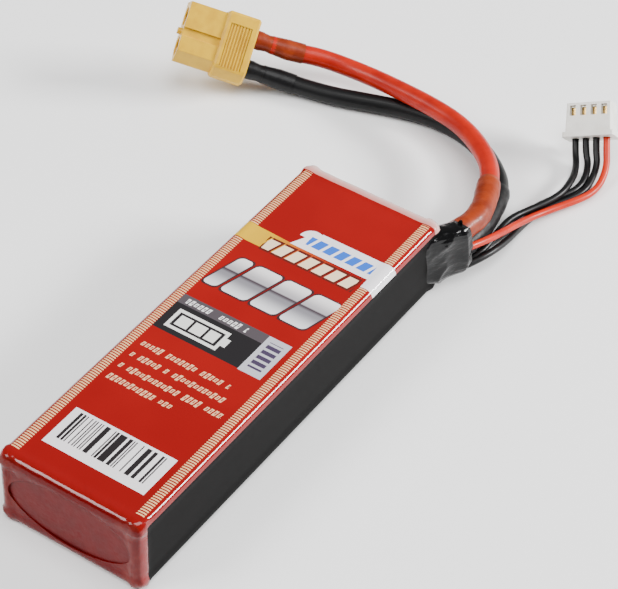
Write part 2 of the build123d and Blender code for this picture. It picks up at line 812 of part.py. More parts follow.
with BuildPart() as balance_plug_housing:
    with BuildSketch(balance_plane):
        RectangleRounded(BALANCE_FLANGE_WIDTH, BALANCE_FLANGE_THICKNESS, 0.5)
    extrude(amount=BALANCE_FLANGE)
    with BuildSketch(balance_plane.offset(BALANCE_FLANGE)):
        RectangleRounded(BALANCE_BODY_WIDTH, BALANCE_BODY_THICKNESS, 0.4)
    with BuildSketch(balance_plane.offset(BALANCE_HEIGHT)):
        RectangleRounded(
            BALANCE_BODY_WIDTH - 2 * BALANCE_TAPER,
            BALANCE_BODY_THICKNESS - 2 * BALANCE_TAPER,
            0.4,
        )
    loft()
    with BuildSketch(balance_plane.offset(BARREL_LENGTH)):
        with Locations(*pole_places):
            Rectangle(CAVITY, CAVITY)
    extrude(amount=BALANCE_HEIGHT, mode=Mode.SUBTRACT)
    with BuildSketch(balance_plane):
        with Locations(*pole_places):
            Circle(WIRE_HOLE / 2)
    extrude(amount=BARREL_LENGTH, mode=Mode.SUBTRACT)
    with Locations(balance_plane.location):
        with Locations(*[(x, -body_half, window_middle) for x in pole_offsets]):
            Box(WINDOW_WIDTH, BALANCE_BODY_THICKNESS, WINDOW_HEIGHT, mode=Mode.SUBTRACT)
        with Locations(*[(x, body_half, BALANCE_HEIGHT) for x in pole_offsets]):
            Box(NOTCH_WIDTH, BALANCE_BODY_THICKNESS, 2 * NOTCH_DEPTH, mode=Mode.SUBTRACT)
balance_plug_housing.part.label = "balance_plug_housing"

with BuildPart() as balance_terminals:
    with BuildSketch(balance_plane):
        with Locations(*pole_places):
            Circle(BARREL_DIAMETER / 2)
    extrude(amount=BARREL_LENGTH + TERMINAL_WALL)
    with BuildSketch(balance_plane.offset(BARREL_LENGTH + FIT)):
        with Locations(*pole_places):
            Rectangle(TERMINAL, TERMINAL)
    extrude(amount=TERMINAL_LENGTH)
    with BuildSketch(balance_plane.offset(BARREL_LENGTH + TERMINAL_WALL + FIT)):
        with Locations(*pole_places):
            Rectangle(TERMINAL - 2 * TERMINAL_WALL, TERMINAL - 2 * TERMINAL_WALL)
    extrude(amount=TERMINAL_LENGTH, mode=Mode.SUBTRACT)
balance_terminals.part.label = "balance_terminals"


# ---------------------------------------------------------------------------
# One STEP file for each node
# ---------------------------------------------------------------------------

export_step(cell_1.part, "parts/cell_1.step")
export_step(cell_2.part, "parts/cell_2.step")
export_step(cell_3.part, "parts/cell_3.step")
export_step(cell_pad_1.part, "parts/cell_pad_1.step")
export_step(cell_pad_2.part, "parts/cell_pad_2.step")
export_step(positive_tabs.part, "parts/positive_tabs.step")
export_step(negative_tabs.part, "parts/negative_tabs.step")
export_step(tab_board.part, "parts/tab_board.step")
export_step(series_links.part, "parts/series_links.step")
export_step(solder_joints.part, "parts/solder_joints.step")
export_step(board_tape.part, "parts/board_tape.step")
export_step(near_end_pad.part, "parts/near_end_pad.step")
export_step(far_end_pad.part, "parts/far_end_pad.step")
export_step(bottom_label.part, "parts/bottom_label.step")
export_step(stiffening_card.part, "parts/stiffening_card.step")
export_step(top_label.part, "parts/top_label.step")
export_step(side_strip_left.part, "parts/side_strip_left.step")
export_step(side_strip_right.part, "parts/side_strip_right.step")
export_step(shrink_wrap.part, "parts/shrink_wrap.step")
export_step(lead_boot.part, "parts/lead_boot.step")
export_step(positive_lead.part, "parts/positive_lead.step")
export_step(negative_lead.part, "parts/negative_lead.step")
export_step(positive_root_sleeve.part, "parts/positive_root_sleeve.step")
export_step(negative_root_sleeve.part, "parts/negative_root_sleeve.step")
export_step(positive_plug_sleeve.part, "parts/positive_plug_sleeve.step")
export_step(negative_plug_sleeve.part, "parts/negative_plug_sleeve.step")
export_step(power_plug_housing.part, "parts/power_plug_housing.step")
export_step(positive_socket.part, "parts/positive_socket.step")
export_step(negative_socket.part, "parts/negative_socket.step")
export_step(balance_plug_housing.part, "parts/balance_plug_housing.step")
export_step(balance_terminals.part, "parts/balance_terminals.step")
export_step(balance_wire_black_1.part, "parts/balance_wire_black_1.step")
export_step(balance_wire_black_2.part, "parts/balance_wire_black_2.step")
export_step(balance_wire_black_3.part, "parts/balance_wire_black_3.step")
export_step(balance_wire_red.part, "parts/balance_wire_red.step")
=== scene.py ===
"""Lithium-polymer flight pack: film-wrapped cells, a lead boot, two leads and two plugs.

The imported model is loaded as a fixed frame.  The cords, their sleeves, the boot, the film
and the printed foil are made here, and every other piece gets its finish.  Sizes are in
millimetres and become metres where a mesh is made.
"""

import logging
import math
from dataclasses import dataclass, field
from enum import Enum

import bpy
from mathutils import Matrix, Vector


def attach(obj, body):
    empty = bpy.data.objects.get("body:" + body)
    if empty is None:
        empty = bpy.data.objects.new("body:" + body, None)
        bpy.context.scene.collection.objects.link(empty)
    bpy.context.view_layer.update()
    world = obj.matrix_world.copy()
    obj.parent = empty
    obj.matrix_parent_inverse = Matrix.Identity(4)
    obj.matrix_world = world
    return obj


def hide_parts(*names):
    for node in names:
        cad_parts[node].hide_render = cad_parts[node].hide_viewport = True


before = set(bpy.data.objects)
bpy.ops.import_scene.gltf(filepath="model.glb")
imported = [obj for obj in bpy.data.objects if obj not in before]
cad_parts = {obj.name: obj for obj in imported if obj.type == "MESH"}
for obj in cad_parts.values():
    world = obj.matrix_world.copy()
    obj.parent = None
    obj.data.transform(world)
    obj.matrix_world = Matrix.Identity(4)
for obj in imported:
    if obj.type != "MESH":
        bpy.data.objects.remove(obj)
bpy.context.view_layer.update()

MM = 0.001
ROOT = "root"
SAME_PLACE = 1e-6
log = logging.getLogger("flight_pack")

Colour = tuple[float, float, float, float]
Point = tuple[float, float, float]
Area = tuple[float, float, float, float]
Socket = bpy.types.NodeSocket


def srgb(red: int, green: int, blue: int) -> Colour:
    """Turn a screen colour into a scene-linear one.

    Args:
        red: Red, from 0 to 255.
        green: Green, from 0 to 255.
        blue: Blue, from 0 to 255.

    Returns:
        The linear colour with full alpha.
    """
    parts = []
    for value in (red, green, blue):
        share = value / 255
        parts.append(share / 12.92 if share <= 0.04045 else ((share + 0.055) / 1.055) ** 2.4)
    return (parts[0], parts[1], parts[2], 1.0)


# ---------------------------------------------------------------------------
# Finishes
# ---------------------------------------------------------------------------


class FinishSheet:
    """A material's nodes, with short ways to draw areas and patterns in millimetres."""

    def __init__(self, name: str) -> None:
        """Start a material with one shader.

        Args:
            name: The material's name.
        """
        self.material = bpy.data.materials.new(name)
        self.material.use_nodes = True
        self.tree = self.material.node_tree
        self.tree.nodes.clear()
        output = self.tree.nodes.new("ShaderNodeOutputMaterial")
        self.shader = self.tree.nodes.new("ShaderNodeBsdfPrincipled")
        self.tree.links.new(self.shader.outputs[0], output.inputs[0])
        place = self.tree.nodes.new("ShaderNodeTexCoord")
        scale = self.tree.nodes.new("ShaderNodeVectorMath")
        scale.operation = "SCALE"
        scale.inputs["Scale"].default_value = 1000.0
        self.tree.links.new(place.outputs["Object"], scale.inputs[0])
        self.place = scale.outputs[0]
        split = self.tree.nodes.new("ShaderNodeSeparateXYZ")
        self.tree.links.new(self.place, split.inputs[0])
        self.x, self.y, self.z = split.outputs

    def put(self, socket: Socket, value: Socket | float | Colour) -> None:
        """Link a socket, or set its value.

        Args:
            socket: The input.
            value: An output to link, or a constant.
        """
        if isinstance(value, bpy.types.NodeSocket):
            self.tree.links.new(value, socket)
        else:
            socket.default_value = value

    def give(self, name: str, value: Socket | Colour) -> None:
        """Give one of the shader's inputs its pattern or colour."""
        self.put(self.shader.inputs[name], value)

    def sum(self, kind: str, *values: Socket | float) -> Socket:
        """Add a Math node.

        Args:
            kind: The operation.
            values: Its inputs, in order.

        Returns:
            The result.
        """
        node = self.tree.nodes.new("ShaderNodeMath")
        node.operation = kind
        for socket, value in zip(node.inputs, values):
            self.put(socket, value)
        return node.outputs[0]

    def above(self, value: Socket, limit: Socket | float) -> Socket:
        """Mask that is 1 where the value is over the limit."""
        return self.sum("GREATER_THAN", value, limit)

    def below(self, value: Socket, limit: Socket | float) -> Socket:
        """Mask that is 1 where the value is under the limit."""
        return self.sum("LESS_THAN", value, limit)

    def size_of(self, value: Socket) -> Socket:
        """The value without its sign."""
        return self.sum("ABSOLUTE", value)

    def line(self, value: Socket, factor: float, start: Socket | float) -> Socket:
        """The value times a factor, plus a start."""
        return self.sum("MULTIPLY_ADD", value, factor, start)

    def within(self, value: Socket, low: float, high: float) -> Socket:
        """Mask that is 1 where the value lies between the two limits."""
        return self.sum("COMPARE", value, (low + high) / 2, (high - low) / 2)

    def beat(self, value: Socket, pitch: float) -> Socket:
        """How far the value is through each pitch, from 0 to 1."""
        return self.sum("FRACT", self.sum("DIVIDE", self.sum("ADD", value, 100.0), pitch))

    def area(self, limits: Area) -> Socket:
        """Mask of a rectangle, by its left, right, near and far limits."""
        left, right, near, far = limits
        return self.both(self.within(self.x, left, right), self.within(self.y, near, far))

    def both(self, *masks: Socket) -> Socket:
        """Mask that is 1 where all of the masks are.

        Args:
            masks: The masks.

        Returns:
            Their product.
        """
        result = masks[0]
        for mask in masks[1:]:
            result = self.sum("MULTIPLY", result, mask)
        return result

    def either(self, *masks: Socket) -> Socket:
        """Mask that is 1 where any of the masks is.

        Args:
            masks: The masks.

        Returns:
            The largest of them.
        """
        result = masks[0]
        for mask in masks[1:]:
            result = self.sum("MAXIMUM", result, mask)
        return result

    def outside(self, mask: Socket) -> Socket:
        """The mask turned round."""
        return self.sum("SUBTRACT", 1.0, mask)

    def rise(self, value: Socket, start: float, end: float) -> Socket:
        """Smooth rise from 0 to 1.

        Args:
            value: What it follows.
            start: Where it is still 0.
            end: Where it reaches 1.

        Returns:
            The rise.
        """
        node = self.tree.nodes.new("ShaderNodeMapRange")
        node.interpolation_type = "SMOOTHSTEP"
        node.inputs["From Min"].default_value = start
        node.inputs["From Max"].default_value = end
        self.put(node.inputs["Value"], value)
        return node.outputs[0]

    def noise(self, scale: float, detail: float = 2.0, stretch: Point = (1, 1, 1)) -> Socket:
        """Noise on the piece's own coordinates.

        Args:
            scale: Features for each millimetre.
            detail: Octaves.
            stretch: Factor on each axis before the noise.

        Returns:
            The noise value.
        """
        node = self.tree.nodes.new("ShaderNodeTexNoise")
        node.inputs["Scale"].default_value = scale
        node.inputs["Detail"].default_value = detail
        where = self.place
        if stretch != (1, 1, 1):
            mapping = self.tree.nodes.new("ShaderNodeMapping")
            mapping.inputs["Scale"].default_value = stretch
            self.tree.links.new(self.place, mapping.inputs[0])
            where = mapping.outputs[0]
        self.tree.links.new(where, node.inputs["Vector"])
        return node.outputs[0]

    def chance(self, value: Socket, seed: float) -> Socket:
        """Random number that stays the same over each whole step of the value.

        Args:
            value: What is counted in steps.
            seed: Which row of numbers to use.

        Returns:
            The number, from 0 to 1.
        """
        node = self.tree.nodes.new("ShaderNodeTexWhiteNoise")
        node.noise_dimensions = "1D"
        step = self.sum("FLOOR", value)
        self.put(node.inputs["W"], self.sum("ADD", step, seed))
        return node.outputs["Value"]

    def mix(self, mask: Socket, under: Socket | Colour, over: Socket | Colour) -> Socket:
        """Lay one colour over another.

        Args:
            mask: How much of the upper colour shows.
            under: The lower colour.
            over: The upper colour.

        Returns:
            The mixed colour.
        """
        node = self.tree.nodes.new("ShaderNodeMix")
        node.data_type = "RGBA"
        for place, value in ((0, mask), (6, under), (7, over)):
            self.put(node.inputs[place], value)
        return node.outputs[2]

    def bump(
        self, height: Socket, strength: float, depth: float, under: Socket | None = None
    ) -> Socket:
        """Bump from a height.

        Args:
            height: The height, from 0 to 1.
            strength: How strongly it turns the normal.
            depth: What a height of 1 stands for, in millimetres.
            under: A normal to build on.

        Returns:
            The new normal.
        """
        node = self.tree.nodes.new("ShaderNodeBump")
        node.inputs["Strength"].default_value = strength
        node.inputs["Distance"].default_value = depth * MM
        self.put(node.inputs["Height"], height)
        if under is not None:
            self.put(node.inputs["Normal"], under)
        return node.outputs[0]

    def soft_edges(self, radius: float) -> Socket:
        """Normal that rounds the mesh's edges.

        Args:
            radius: Radius in millimetres.

        Returns:
            The normal.
        """
        node = self.tree.nodes.new("ShaderNodeBevel")
        node.samples = 6
        node.inputs["Radius"].default_value = radius * MM
        return node.outputs[0]

    def shine(
        self, roughness: float, coat: float = 0.0, metallic: float = 0.0, specular: float = 0.5
    ) -> None:
        """Set the shader's constant sockets.

        Args:
            roughness: Base roughness.
            coat: Clear coat weight.
            metallic: 1 for bare metal.
            specular: Strength of the base's reflection.
        """
        self.shader.inputs["Roughness"].default_value = roughness
        self.shader.inputs["Coat Weight"].default_value = coat
        self.shader.inputs["Coat Roughness"].default_value = 0.06
        self.shader.inputs["Metallic"].default_value = metallic
        self.shader.inputs["Specular IOR Level"].default_value = specular


@dataclass(frozen=True)
class TwoTone:
    """A finish whose colour drifts between two close tones."""

    name: str
    colour: Colour
    shade: Colour

    def toned(self, drift: float, detail: float, low: float, high: float) -> FinishSheet:
        """Start the finish with its two tones, laid by a broad noise.

        Args:
            drift: Patches of tone for each millimetre.
            detail: Octaves of the noise.
            low: Noise value where the shade starts to show.
            high: Noise value where it covers.

        Returns:
            The sheet to build on.
        """
        sheet = FinishSheet(self.name)
        cloud = sheet.rise(sheet.noise(drift, detail), low, high)
        sheet.give("Base Color", sheet.mix(cloud, self.colour, self.shade))
        return sheet

    def roughen(self, sheet: FinishSheet, pattern: Socket, middle: float, swing: float) -> None:
        """Let the roughness follow a pattern, evenly about a middle value."""
        sheet.give("Roughness", sheet.line(pattern, swing, middle - swing / 2))


@dataclass(frozen=True)
class Moulding(TwoTone):
    """Injection-moulded plastic with soft edges and a faint flow texture."""

    roughness: float = 0.32
    coat: float = 0.25
    edge: float = 0.15

    def material(self) -> bpy.types.Material:
        """Make the moulded plastic.

        Returns:
            The material.
        """
        sheet = self.toned(drift=0.35, detail=3.0, low=0.35, high=0.7)
        fine = sheet.noise(9.0)
        sheet.shine(self.roughness, self.coat)
        self.roughen(sheet, fine, self.roughness, swing=0.12)
        normal = sheet.soft_edges(self.edge)
        sheet.give("Normal", sheet.bump(fine, strength=0.10, depth=0.05, under=normal))
        return sheet.material


@dataclass(frozen=True)
class Silicone(TwoTone):
    """Matt-satin silicone insulation with slight waves along the lead."""

    roughness: float = 0.38

    def material(self) -> bpy.types.Material:
        """Make the lead insulation.

        Returns:
            The material.
        """
        sheet = self.toned(drift=0.22, detail=3.0, low=0.35, high=0.68)
        fine = sheet.noise(2.6, 3.0)
        grain = sheet.noise(14.0)
        sheet.shine(self.roughness, coat=0.05, specular=0.22)
        self.roughen(sheet, fine, self.roughness, swing=0.2)
        normal = sheet.bump(fine, strength=0.16, depth=0.12)
        sheet.give("Normal", sheet.bump(grain, strength=0.08, depth=0.04, under=normal))
        return sheet.material


@dataclass(frozen=True)
class ShrinkSleeve(TwoTone):
    """Heat-shrunk sleeve: satin, with small dents where it has drawn tight."""

    roughness: float = 0.42

    def material(self) -> bpy.types.Material:
        """Make the sleeve.

        Returns:
            The material.
        """
        sheet = self.toned(drift=0.3, detail=2.0, low=0.35, high=0.68)
        dents = sheet.noise(0.9, 3.0)
        sheet.shine(self.roughness, coat=0.05, specular=0.22)
        self.roughen(sheet, dents, self.roughness, swing=0.24)
        sheet.give("Normal", sheet.bump(dents, strength=0.3, depth=0.25))
        return sheet.material


@dataclass(frozen=True)
class BlackFilm:
    """Glossy black film, crinkled where it has shrunk over the lead roots."""

    name: str
    colour: Colour
    crinkle: float = 0.5
    roughness: float = 0.1
    # Lighter grey for the crinkle ridges.
    ridge_grey: Colour = srgb(30, 30, 32)

    def material(self) -> bpy.types.Material:
        """Make the black film.

        Returns:
            The material.
        """
        sheet = FinishSheet(self.name)
        broad = sheet.noise(0.28, 3.0, stretch=(1.0, 0.6, 1.4))
        tight = sheet.noise(1.1, 4.0, stretch=(1.3, 0.5, 1.0))
        # The crinkle ridges are painted a lighter grey than the black film.
        ridges = sheet.rise(tight, 0.6, 0.85)
        sheet.give("Base Color", sheet.mix(ridges, self.colour, self.ridge_grey))
        sheet.shine(self.roughness, coat=0.45, specular=0.06)
        normal = sheet.bump(broad, self.crinkle, depth=1.0)
        sheet.give("Normal", sheet.bump(tight, self.crinkle * 0.5, depth=0.3, under=normal))
        return sheet.material


@dataclass(frozen=True)
class Metal(TwoTone):
    """Bare or plated metal with a drawn or turned grain."""

    roughness: float = 0.28
    stretch: Point = (1.0, 1.0, 1.0)

    def material(self) -> bpy.types.Material:
        """Make the metal.

        Returns:
            The material.
        """
        sheet = self.toned(drift=0.25, detail=2.0, low=0.3, high=0.7)
        grain = sheet.noise(3.0, 4.0, self.stretch)
        sheet.shine(self.roughness, metallic=1.0)
        self.roughen(sheet, grain, self.roughness, swing=0.3)
        sheet.give("Normal", sheet.bump(grain, strength=0.1, depth=0.05))
        return sheet.material


@dataclass(frozen=True)
class Board(TwoTone):
    """Flat sheet stock with a woven, fibrous or cellular grain."""

    grain: float = 2.0
    roughness: float = 0.7
    relief: float = 0.3

    def material(self) -> bpy.types.Material:
        """Make the sheet stock.

        Returns:
            The material.
        """
        sheet = self.toned(drift=self.grain, detail=5.0, low=0.35, high=0.65)
        sheet.shine(self.roughness)
        sheet.give("Normal", sheet.bump(sheet.noise(self.grain * 4), self.relief, depth=0.1))
        return sheet.material


@dataclass(frozen=True)
class PrintedFilm:
    """Clear film over the printed label: red top with plain printed areas, black sides.

    Areas are given by their left, right, near and far limits.
    """

    name: str
    red: Colour = srgb(138, 6, 6)
    deep_red: Colour = srgb(116, 3, 4)
    end_red: Colour = srgb(92, 2, 3)
    cream: Colour = srgb(226, 180, 130)
    ivory: Colour = srgb(232, 206, 172)
    maroon: Colour = srgb(84, 26, 20)
    blue: Colour = srgb(40, 98, 196)
    black: Colour = srgb(9, 8, 8)
    yellow_amber: Colour = srgb(204, 160, 14)
    red_amber: Colour = srgb(178, 70, 20)
    plate_white: Colour = srgb(226, 222, 226)
    banner_grey: Colour = srgb(72, 66, 70)
    banner_black: Colour = srgb(30, 28, 30)
    emblem_grey: Colour = srgb(214, 214, 210)
    scale_grey: Colour = srgb(172, 172, 180)
    scale_violet: Colour = srgb(62, 52, 74)
    heading_white: Colour = srgb(222, 220, 220)
    small_print: Colour = srgb(222, 172, 132)
    panel_white: Colour = srgb(222, 218, 220)
    bar_black: Colour = srgb(32, 28, 30)
    # Far band: translucent pink film; its paler end is painted reflection.
    band_pink: Colour = srgb(196, 132, 124)
    band_reflection_pale: Colour = srgb(206, 176, 170)
    band_dark: Colour = srgb(58, 44, 44)
    # Painted highlight colour for the film rim at the near end.
    rim_highlight_pink: Colour = srgb(176, 84, 70)
    tick_pitch: float = 0.658
    strip_inner: float = 14.05
    strip_outer: float = 15.95
    strip_end: float = 50.1
    label_far: float = 50.4
    fold_near: float = -50.7
    side_top: float = 16.5
    side_from: float = 15.6
    base_top: float = 1.2
    plate_main: Area = (-1.2, 17.2, 28.95, 35.15)
    plate_round: Area = (-6.5, 0, 32.3, 36)
    plate_low: Area = (-6.5, -1.1, 28.95, 32.4)
    plate_tail: Area = (14.0, 17.2, 26.2, 29.1)
    round_middle: tuple[float, float] = (-2.4, 32.4)
    round_radius: float = 2.75
    blue_row: Area = (-2.6, 13.6, 30.5, 33.3)
    blue_pitch: float = 2.8
    pill_shadow: Area = (-9.9, 13.3, 23.7, 28.3)
    pill_row: Area = (-9.5, 12.8, 24.3, 27.7)
    pill_pitch: float = 3.3
    inked: float = 0.74
    shadow_inked: float = 0.92
    banner: Area = (-14.0, 7.2, -7.6, 3.7)
    banner_low: Area = (-14.0, 7.2, -7.6, 0.9)
    emblem_outer: Area = (-12.2, 0.6, -6.2, -0.4)
    emblem_inner: Area = (-11.4, -0.2, -5.4, -1.2)
    emblem_nub: Area = (0.6, 1.7, -4.5, -2.1)
    emblem_cells: tuple[Area, ...] = (
        (-10.7, -7.7, -4.8, -1.8), (-7.1, -4.1, -4.8, -1.8), (-3.5, -0.9, -4.8, -1.8),
    )
    scale_panel: Area = (7.2, 12.7, -7.8, 3.6)
    scale_marks: Area = (8.3, 11.6, -6.0, 2.2)
    scale_pitch: float = 1.7
    heading: tuple[float, float, float, float] = (2.2, -12.4, 2.6, 3.0)
    print_left: float = -12.6
    print_lines: tuple[tuple[float, float, float], ...] = (
        (-12.9, 9.0, 11.0), (-16.6, 11.2, 23.0), (-20.3, 12.6, 31.0), (-24.0, 3.6, 57.0),
    )
    bar_panel: Area = (-12.1, 12.45, -45.5, -34.6)
    bars: Area = (-10.4, 10.8, -43.3, -35.3)
    bar_width: float = 0.27

    def ladder(self, sheet: FinishSheet) -> Socket:
        """Fine cream ladder along both long edges.

        Args:
            sheet: The material's sheet.

        Returns:
            The ladder's mask.
        """
        strip = sheet.within(sheet.size_of(sheet.x), self.strip_inner, self.strip_outer)
        along = sheet.within(sheet.y, -self.strip_end, self.strip_end)
        turn = sheet.sum("MULTIPLY", sheet.y, 2 * math.pi / self.tick_pitch)
        return sheet.both(strip, along, sheet.above(sheet.sum("SINE", turn), 0.0))

    def plate(self, sheet: FinishSheet) -> Socket:
        """White plate at the far right, with a rounded far left corner.

        Args:
            sheet: The material's sheet.

        Returns:
            The plate's mask.
        """
        left = sheet.above(sheet.x, sheet.line(sheet.y, 0.5, -19.9))
        squares = []
        for value, middle in zip((sheet.x, sheet.y), self.round_middle):
            offset = sheet.sum("SUBTRACT", value, middle)
            squares.append(sheet.sum("MULTIPLY", offset, offset))
        radius = sheet.sum("SQRT", sheet.sum("ADD", *squares))
        return sheet.either(
            sheet.area(self.plate_main),
            sheet.both(sheet.below(radius, self.round_radius), sheet.area(self.plate_round)),
            sheet.both(left, sheet.area(self.plate_low)),
            sheet.area(self.plate_tail),
        )

    def words(
        self, sheet: FinishSheet, line: float, left: float, right: float, seed: float
    ) -> Socket:
        """One line of illegible printed marks.

        Args:
            sheet: The material's sheet.
            line: The middle of the line, along the pack.
            left: Where the line starts.
            right: Where the line ends.
            seed: Which pattern of marks to use.

        Returns:
            The line's mask.
        """
        slope, pitch = 0.2, 1.05
        x = sheet.sum("ADD", sheet.x, sheet.line(sheet.y, -slope, slope * line))
        cell = sheet.sum("DIVIDE", x, pitch)
        share = sheet.sum("FRACT", cell)
        ink = sheet.above(sheet.chance(cell, seed), 0.14)
        tall = sheet.line(sheet.chance(cell, seed + 40), 0.45, 0.5)
        height = sheet.size_of(sheet.sum("SUBTRACT", sheet.y, line))
        gap = sheet.both(sheet.within(share, 0.32, 0.54), sheet.below(height, 0.34))
        return sheet.both(
            ink,
            sheet.below(height, tall),
            sheet.within(share, 0.08, 0.74),
            sheet.within(sheet.x, left, right),
            sheet.outside(gap),
        )

    def blocks(self, sheet: FinishSheet, area: Area, pitch: float, duty: float) -> Socket:
        """Row of leaning blocks.

        Args:
            sheet: The material's sheet.
            area: Left, right, near and far limits of the row.
            pitch: Distance between the blocks.
            duty: Inked share of each pitch.

        Returns:
            The row's mask.
        """
        lean = 0.3
        share = sheet.beat(sheet.line(sheet.y, -lean, sheet.x), pitch)
        return sheet.both(sheet.area(area), sheet.within(share, 0.0, duty))

    def emblem(self, sheet: FinishSheet) -> Socket:
        """Plain battery pictogram: an outline, a nub and three cells.

        Args:
            sheet: The material's sheet.

        Returns:
            The pictogram's mask.
        """
        inner = sheet.outside(sheet.area(self.emblem_inner))
        outline = sheet.both(sheet.area(self.emblem_outer), inner)
        cells = [sheet.area(cell) for cell in self.emblem_cells]
        return sheet.either(outline, sheet.area(self.emblem_nub), *cells)

    def bar_code(self, sheet: FinishSheet) -> Socket:
        """Dark bars of chance widths inside the white panel."""
        cell = sheet.sum("DIVIDE", sheet.x, self.bar_width)
        return sheet.both(sheet.above(sheet.chance(cell, 7.0), 0.47), sheet.area(self.bars))

    def glow(self, sheet: FinishSheet) -> Socket:
        """Amber wedge beside the blocks, fading out to the right.

        Args:
            sheet: The material's sheet.

        Returns:
            The wedge's mask.
        """
        wedge = sheet.both(
            sheet.above(sheet.y, 24.3),
            sheet.below(sheet.y, sheet.line(sheet.x, -0.04, 28.9)),
            sheet.within(sheet.x, -16.6, 9.5),
        )
        return sheet.both(wedge, sheet.outside(sheet.rise(sheet.x, -4.0, 9.5)))

    def artwork(self, sheet: FinishSheet, base: Socket) -> Socket:
        """Lay the printed areas over the base colour.

        Args:
            sheet: The material's sheet.
            base: The red under the print.

        Returns:
            The printed colour.
        """
        amber_share = sheet.rise(sheet.x, -12.5, -1.0)
        amber = sheet.mix(amber_share, self.yellow_amber, self.red_amber)
        marks = sheet.within(sheet.beat(sheet.y, self.scale_pitch), 0.0, 0.62)
        layers = [
            (self.ladder(sheet), self.cream),
            (self.glow(sheet), amber),
            (self.plate(sheet), self.plate_white),
            (self.blocks(sheet, self.blue_row, self.blue_pitch, self.inked), self.blue),
            (
                self.blocks(sheet, self.pill_shadow, self.pill_pitch, self.shadow_inked),
                self.maroon,
            ),
            (self.blocks(sheet, self.pill_row, self.pill_pitch, self.inked), self.ivory),
            (sheet.area(self.banner), self.banner_grey),
            (sheet.area(self.banner_low), self.banner_black),
            (self.emblem(sheet), self.emblem_grey),
            (sheet.area(self.scale_panel), self.scale_grey),
            (sheet.both(sheet.area(self.scale_marks), marks), self.scale_violet),
            (self.words(sheet, *self.heading), self.heading_white),
        ]
        for line, right, seed in self.print_lines:
            layers.append((self.words(sheet, line, self.print_left, right, seed), self.small_print))
        layers.append((sheet.area(self.bar_panel), self.panel_white))
        layers.append((self.bar_code(sheet), self.bar_black))
        colour = base
        for mask, over in layers:
            colour = sheet.mix(mask, colour, over)
        return colour

    def reds(self, sheet: FinishSheet, end_face: Socket) -> Socket:
        """The printed red, deeper in clouds, towards the near end and on the end face.

        Args:
            sheet: The material's sheet.
            end_face: Mask of the near end face.

        Returns:
            The red.
        """
        cloud = sheet.rise(sheet.noise(0.05), 0.35, 0.65)
        nearness = sheet.rise(sheet.y, -10.0, -52.0)
        red = sheet.mix(sheet.sum("MULTIPLY", cloud, 0.35), self.red, self.deep_red)
        red = sheet.mix(sheet.sum("MULTIPLY", nearness, 0.6), red, self.deep_red)
        return sheet.mix(end_face, red, self.end_red)

    def far_band(self, sheet: FinishSheet, under: Socket) -> Socket:
        """Lay the film's pale band over the far end: translucent pink film with a painted
        reflection that pales it towards the end, dark towards the base.

        Args:
            sheet: The material's sheet.
            under: The colour so far.

        Returns:
            The colour with the band.
        """
        # The band pales towards the end: painted reflection on the film where it curves down.
        reflection_rise = sheet.rise(sheet.y, self.label_far, 52.6)
        band = sheet.mix(reflection_rise, self.band_pink, self.band_reflection_pale)
        band = sheet.mix(sheet.rise(sheet.z, 15.5, 10.0), band, self.band_dark)
        return sheet.mix(sheet.above(sheet.y, self.label_far), under, band)

    def sides(self, sheet: FinishSheet) -> Socket:
        """Both long sides and the base, up to a wavy fold at the near end.

        Args:
            sheet: The material's sheet.

        Returns:
            Their mask.
        """
        fold = sheet.line(sheet.noise(0.35), 0.9, self.fold_near - 0.45)
        along = sheet.above(sheet.y, fold)
        side = sheet.both(
            sheet.above(sheet.size_of(sheet.x), self.side_from),
            sheet.below(sheet.z, self.side_top),
            along,
        )
        return sheet.either(side, sheet.both(sheet.below(sheet.z, self.base_top), along))

    def near_rim_highlight(self, sheet: FinishSheet) -> Socket:
        """Painted highlight: lighter patches on the film where it curves round both sides of the
        near end.

        Args:
            sheet: The material's sheet.

        Returns:
            Their mask.
        """
        rim = sheet.both(
            sheet.below(sheet.y, -52.4), sheet.rise(sheet.size_of(sheet.x), 10.5, 13.5)
        )
        # Painted highlight on the curved film rim, broken into patches by noise.
        patches = sheet.sum("MULTIPLY", rim, sheet.rise(sheet.noise(0.4, 3.0), 0.3, 0.7))
        return sheet.sum("MULTIPLY", patches, 0.14)

    def material(self) -> bpy.types.Material:
        """Make the film with its print.

        Returns:
            The material.
        """
        sheet = FinishSheet(self.name)
        end_face = sheet.rise(sheet.y, -52.2, -52.8)
        red = self.reds(sheet, end_face)
        top = sheet.above(sheet.z, self.side_top)
        colour = sheet.mix(top, red, self.artwork(sheet, red))
        colour = self.far_band(sheet, colour)
        dull = self.sides(sheet)
        colour = sheet.mix(dull, colour, self.black)
        # The painted highlight on the near end's film rim goes on last.
        sheet.give("Base Color", sheet.mix(self.near_rim_highlight(sheet), colour, self.rim_highlight_pink))
        gloss, coat = 0.2, 0.8
        sheet.shine(gloss, coat, specular=0.04)
        sheet.give("Roughness", sheet.line(dull, 0.42, gloss))
        sheet.give("Coat Weight", sheet.line(dull, -0.74, sheet.line(end_face, -0.5, coat)))
        ends = sheet.rise(sheet.size_of(sheet.y), 47.0, 53.0)
        pucker = sheet.sum("MULTIPLY", sheet.noise(0.5, 3.0), ends)
        wave = sheet.noise(0.06, 2.0, stretch=(1.0, 0.35, 1.0))
        normal = sheet.bump(wave, strength=0.25, depth=1.2)
        sheet.give("Normal", sheet.bump(pucker, strength=0.35, depth=0.8, under=normal))
        return sheet.material


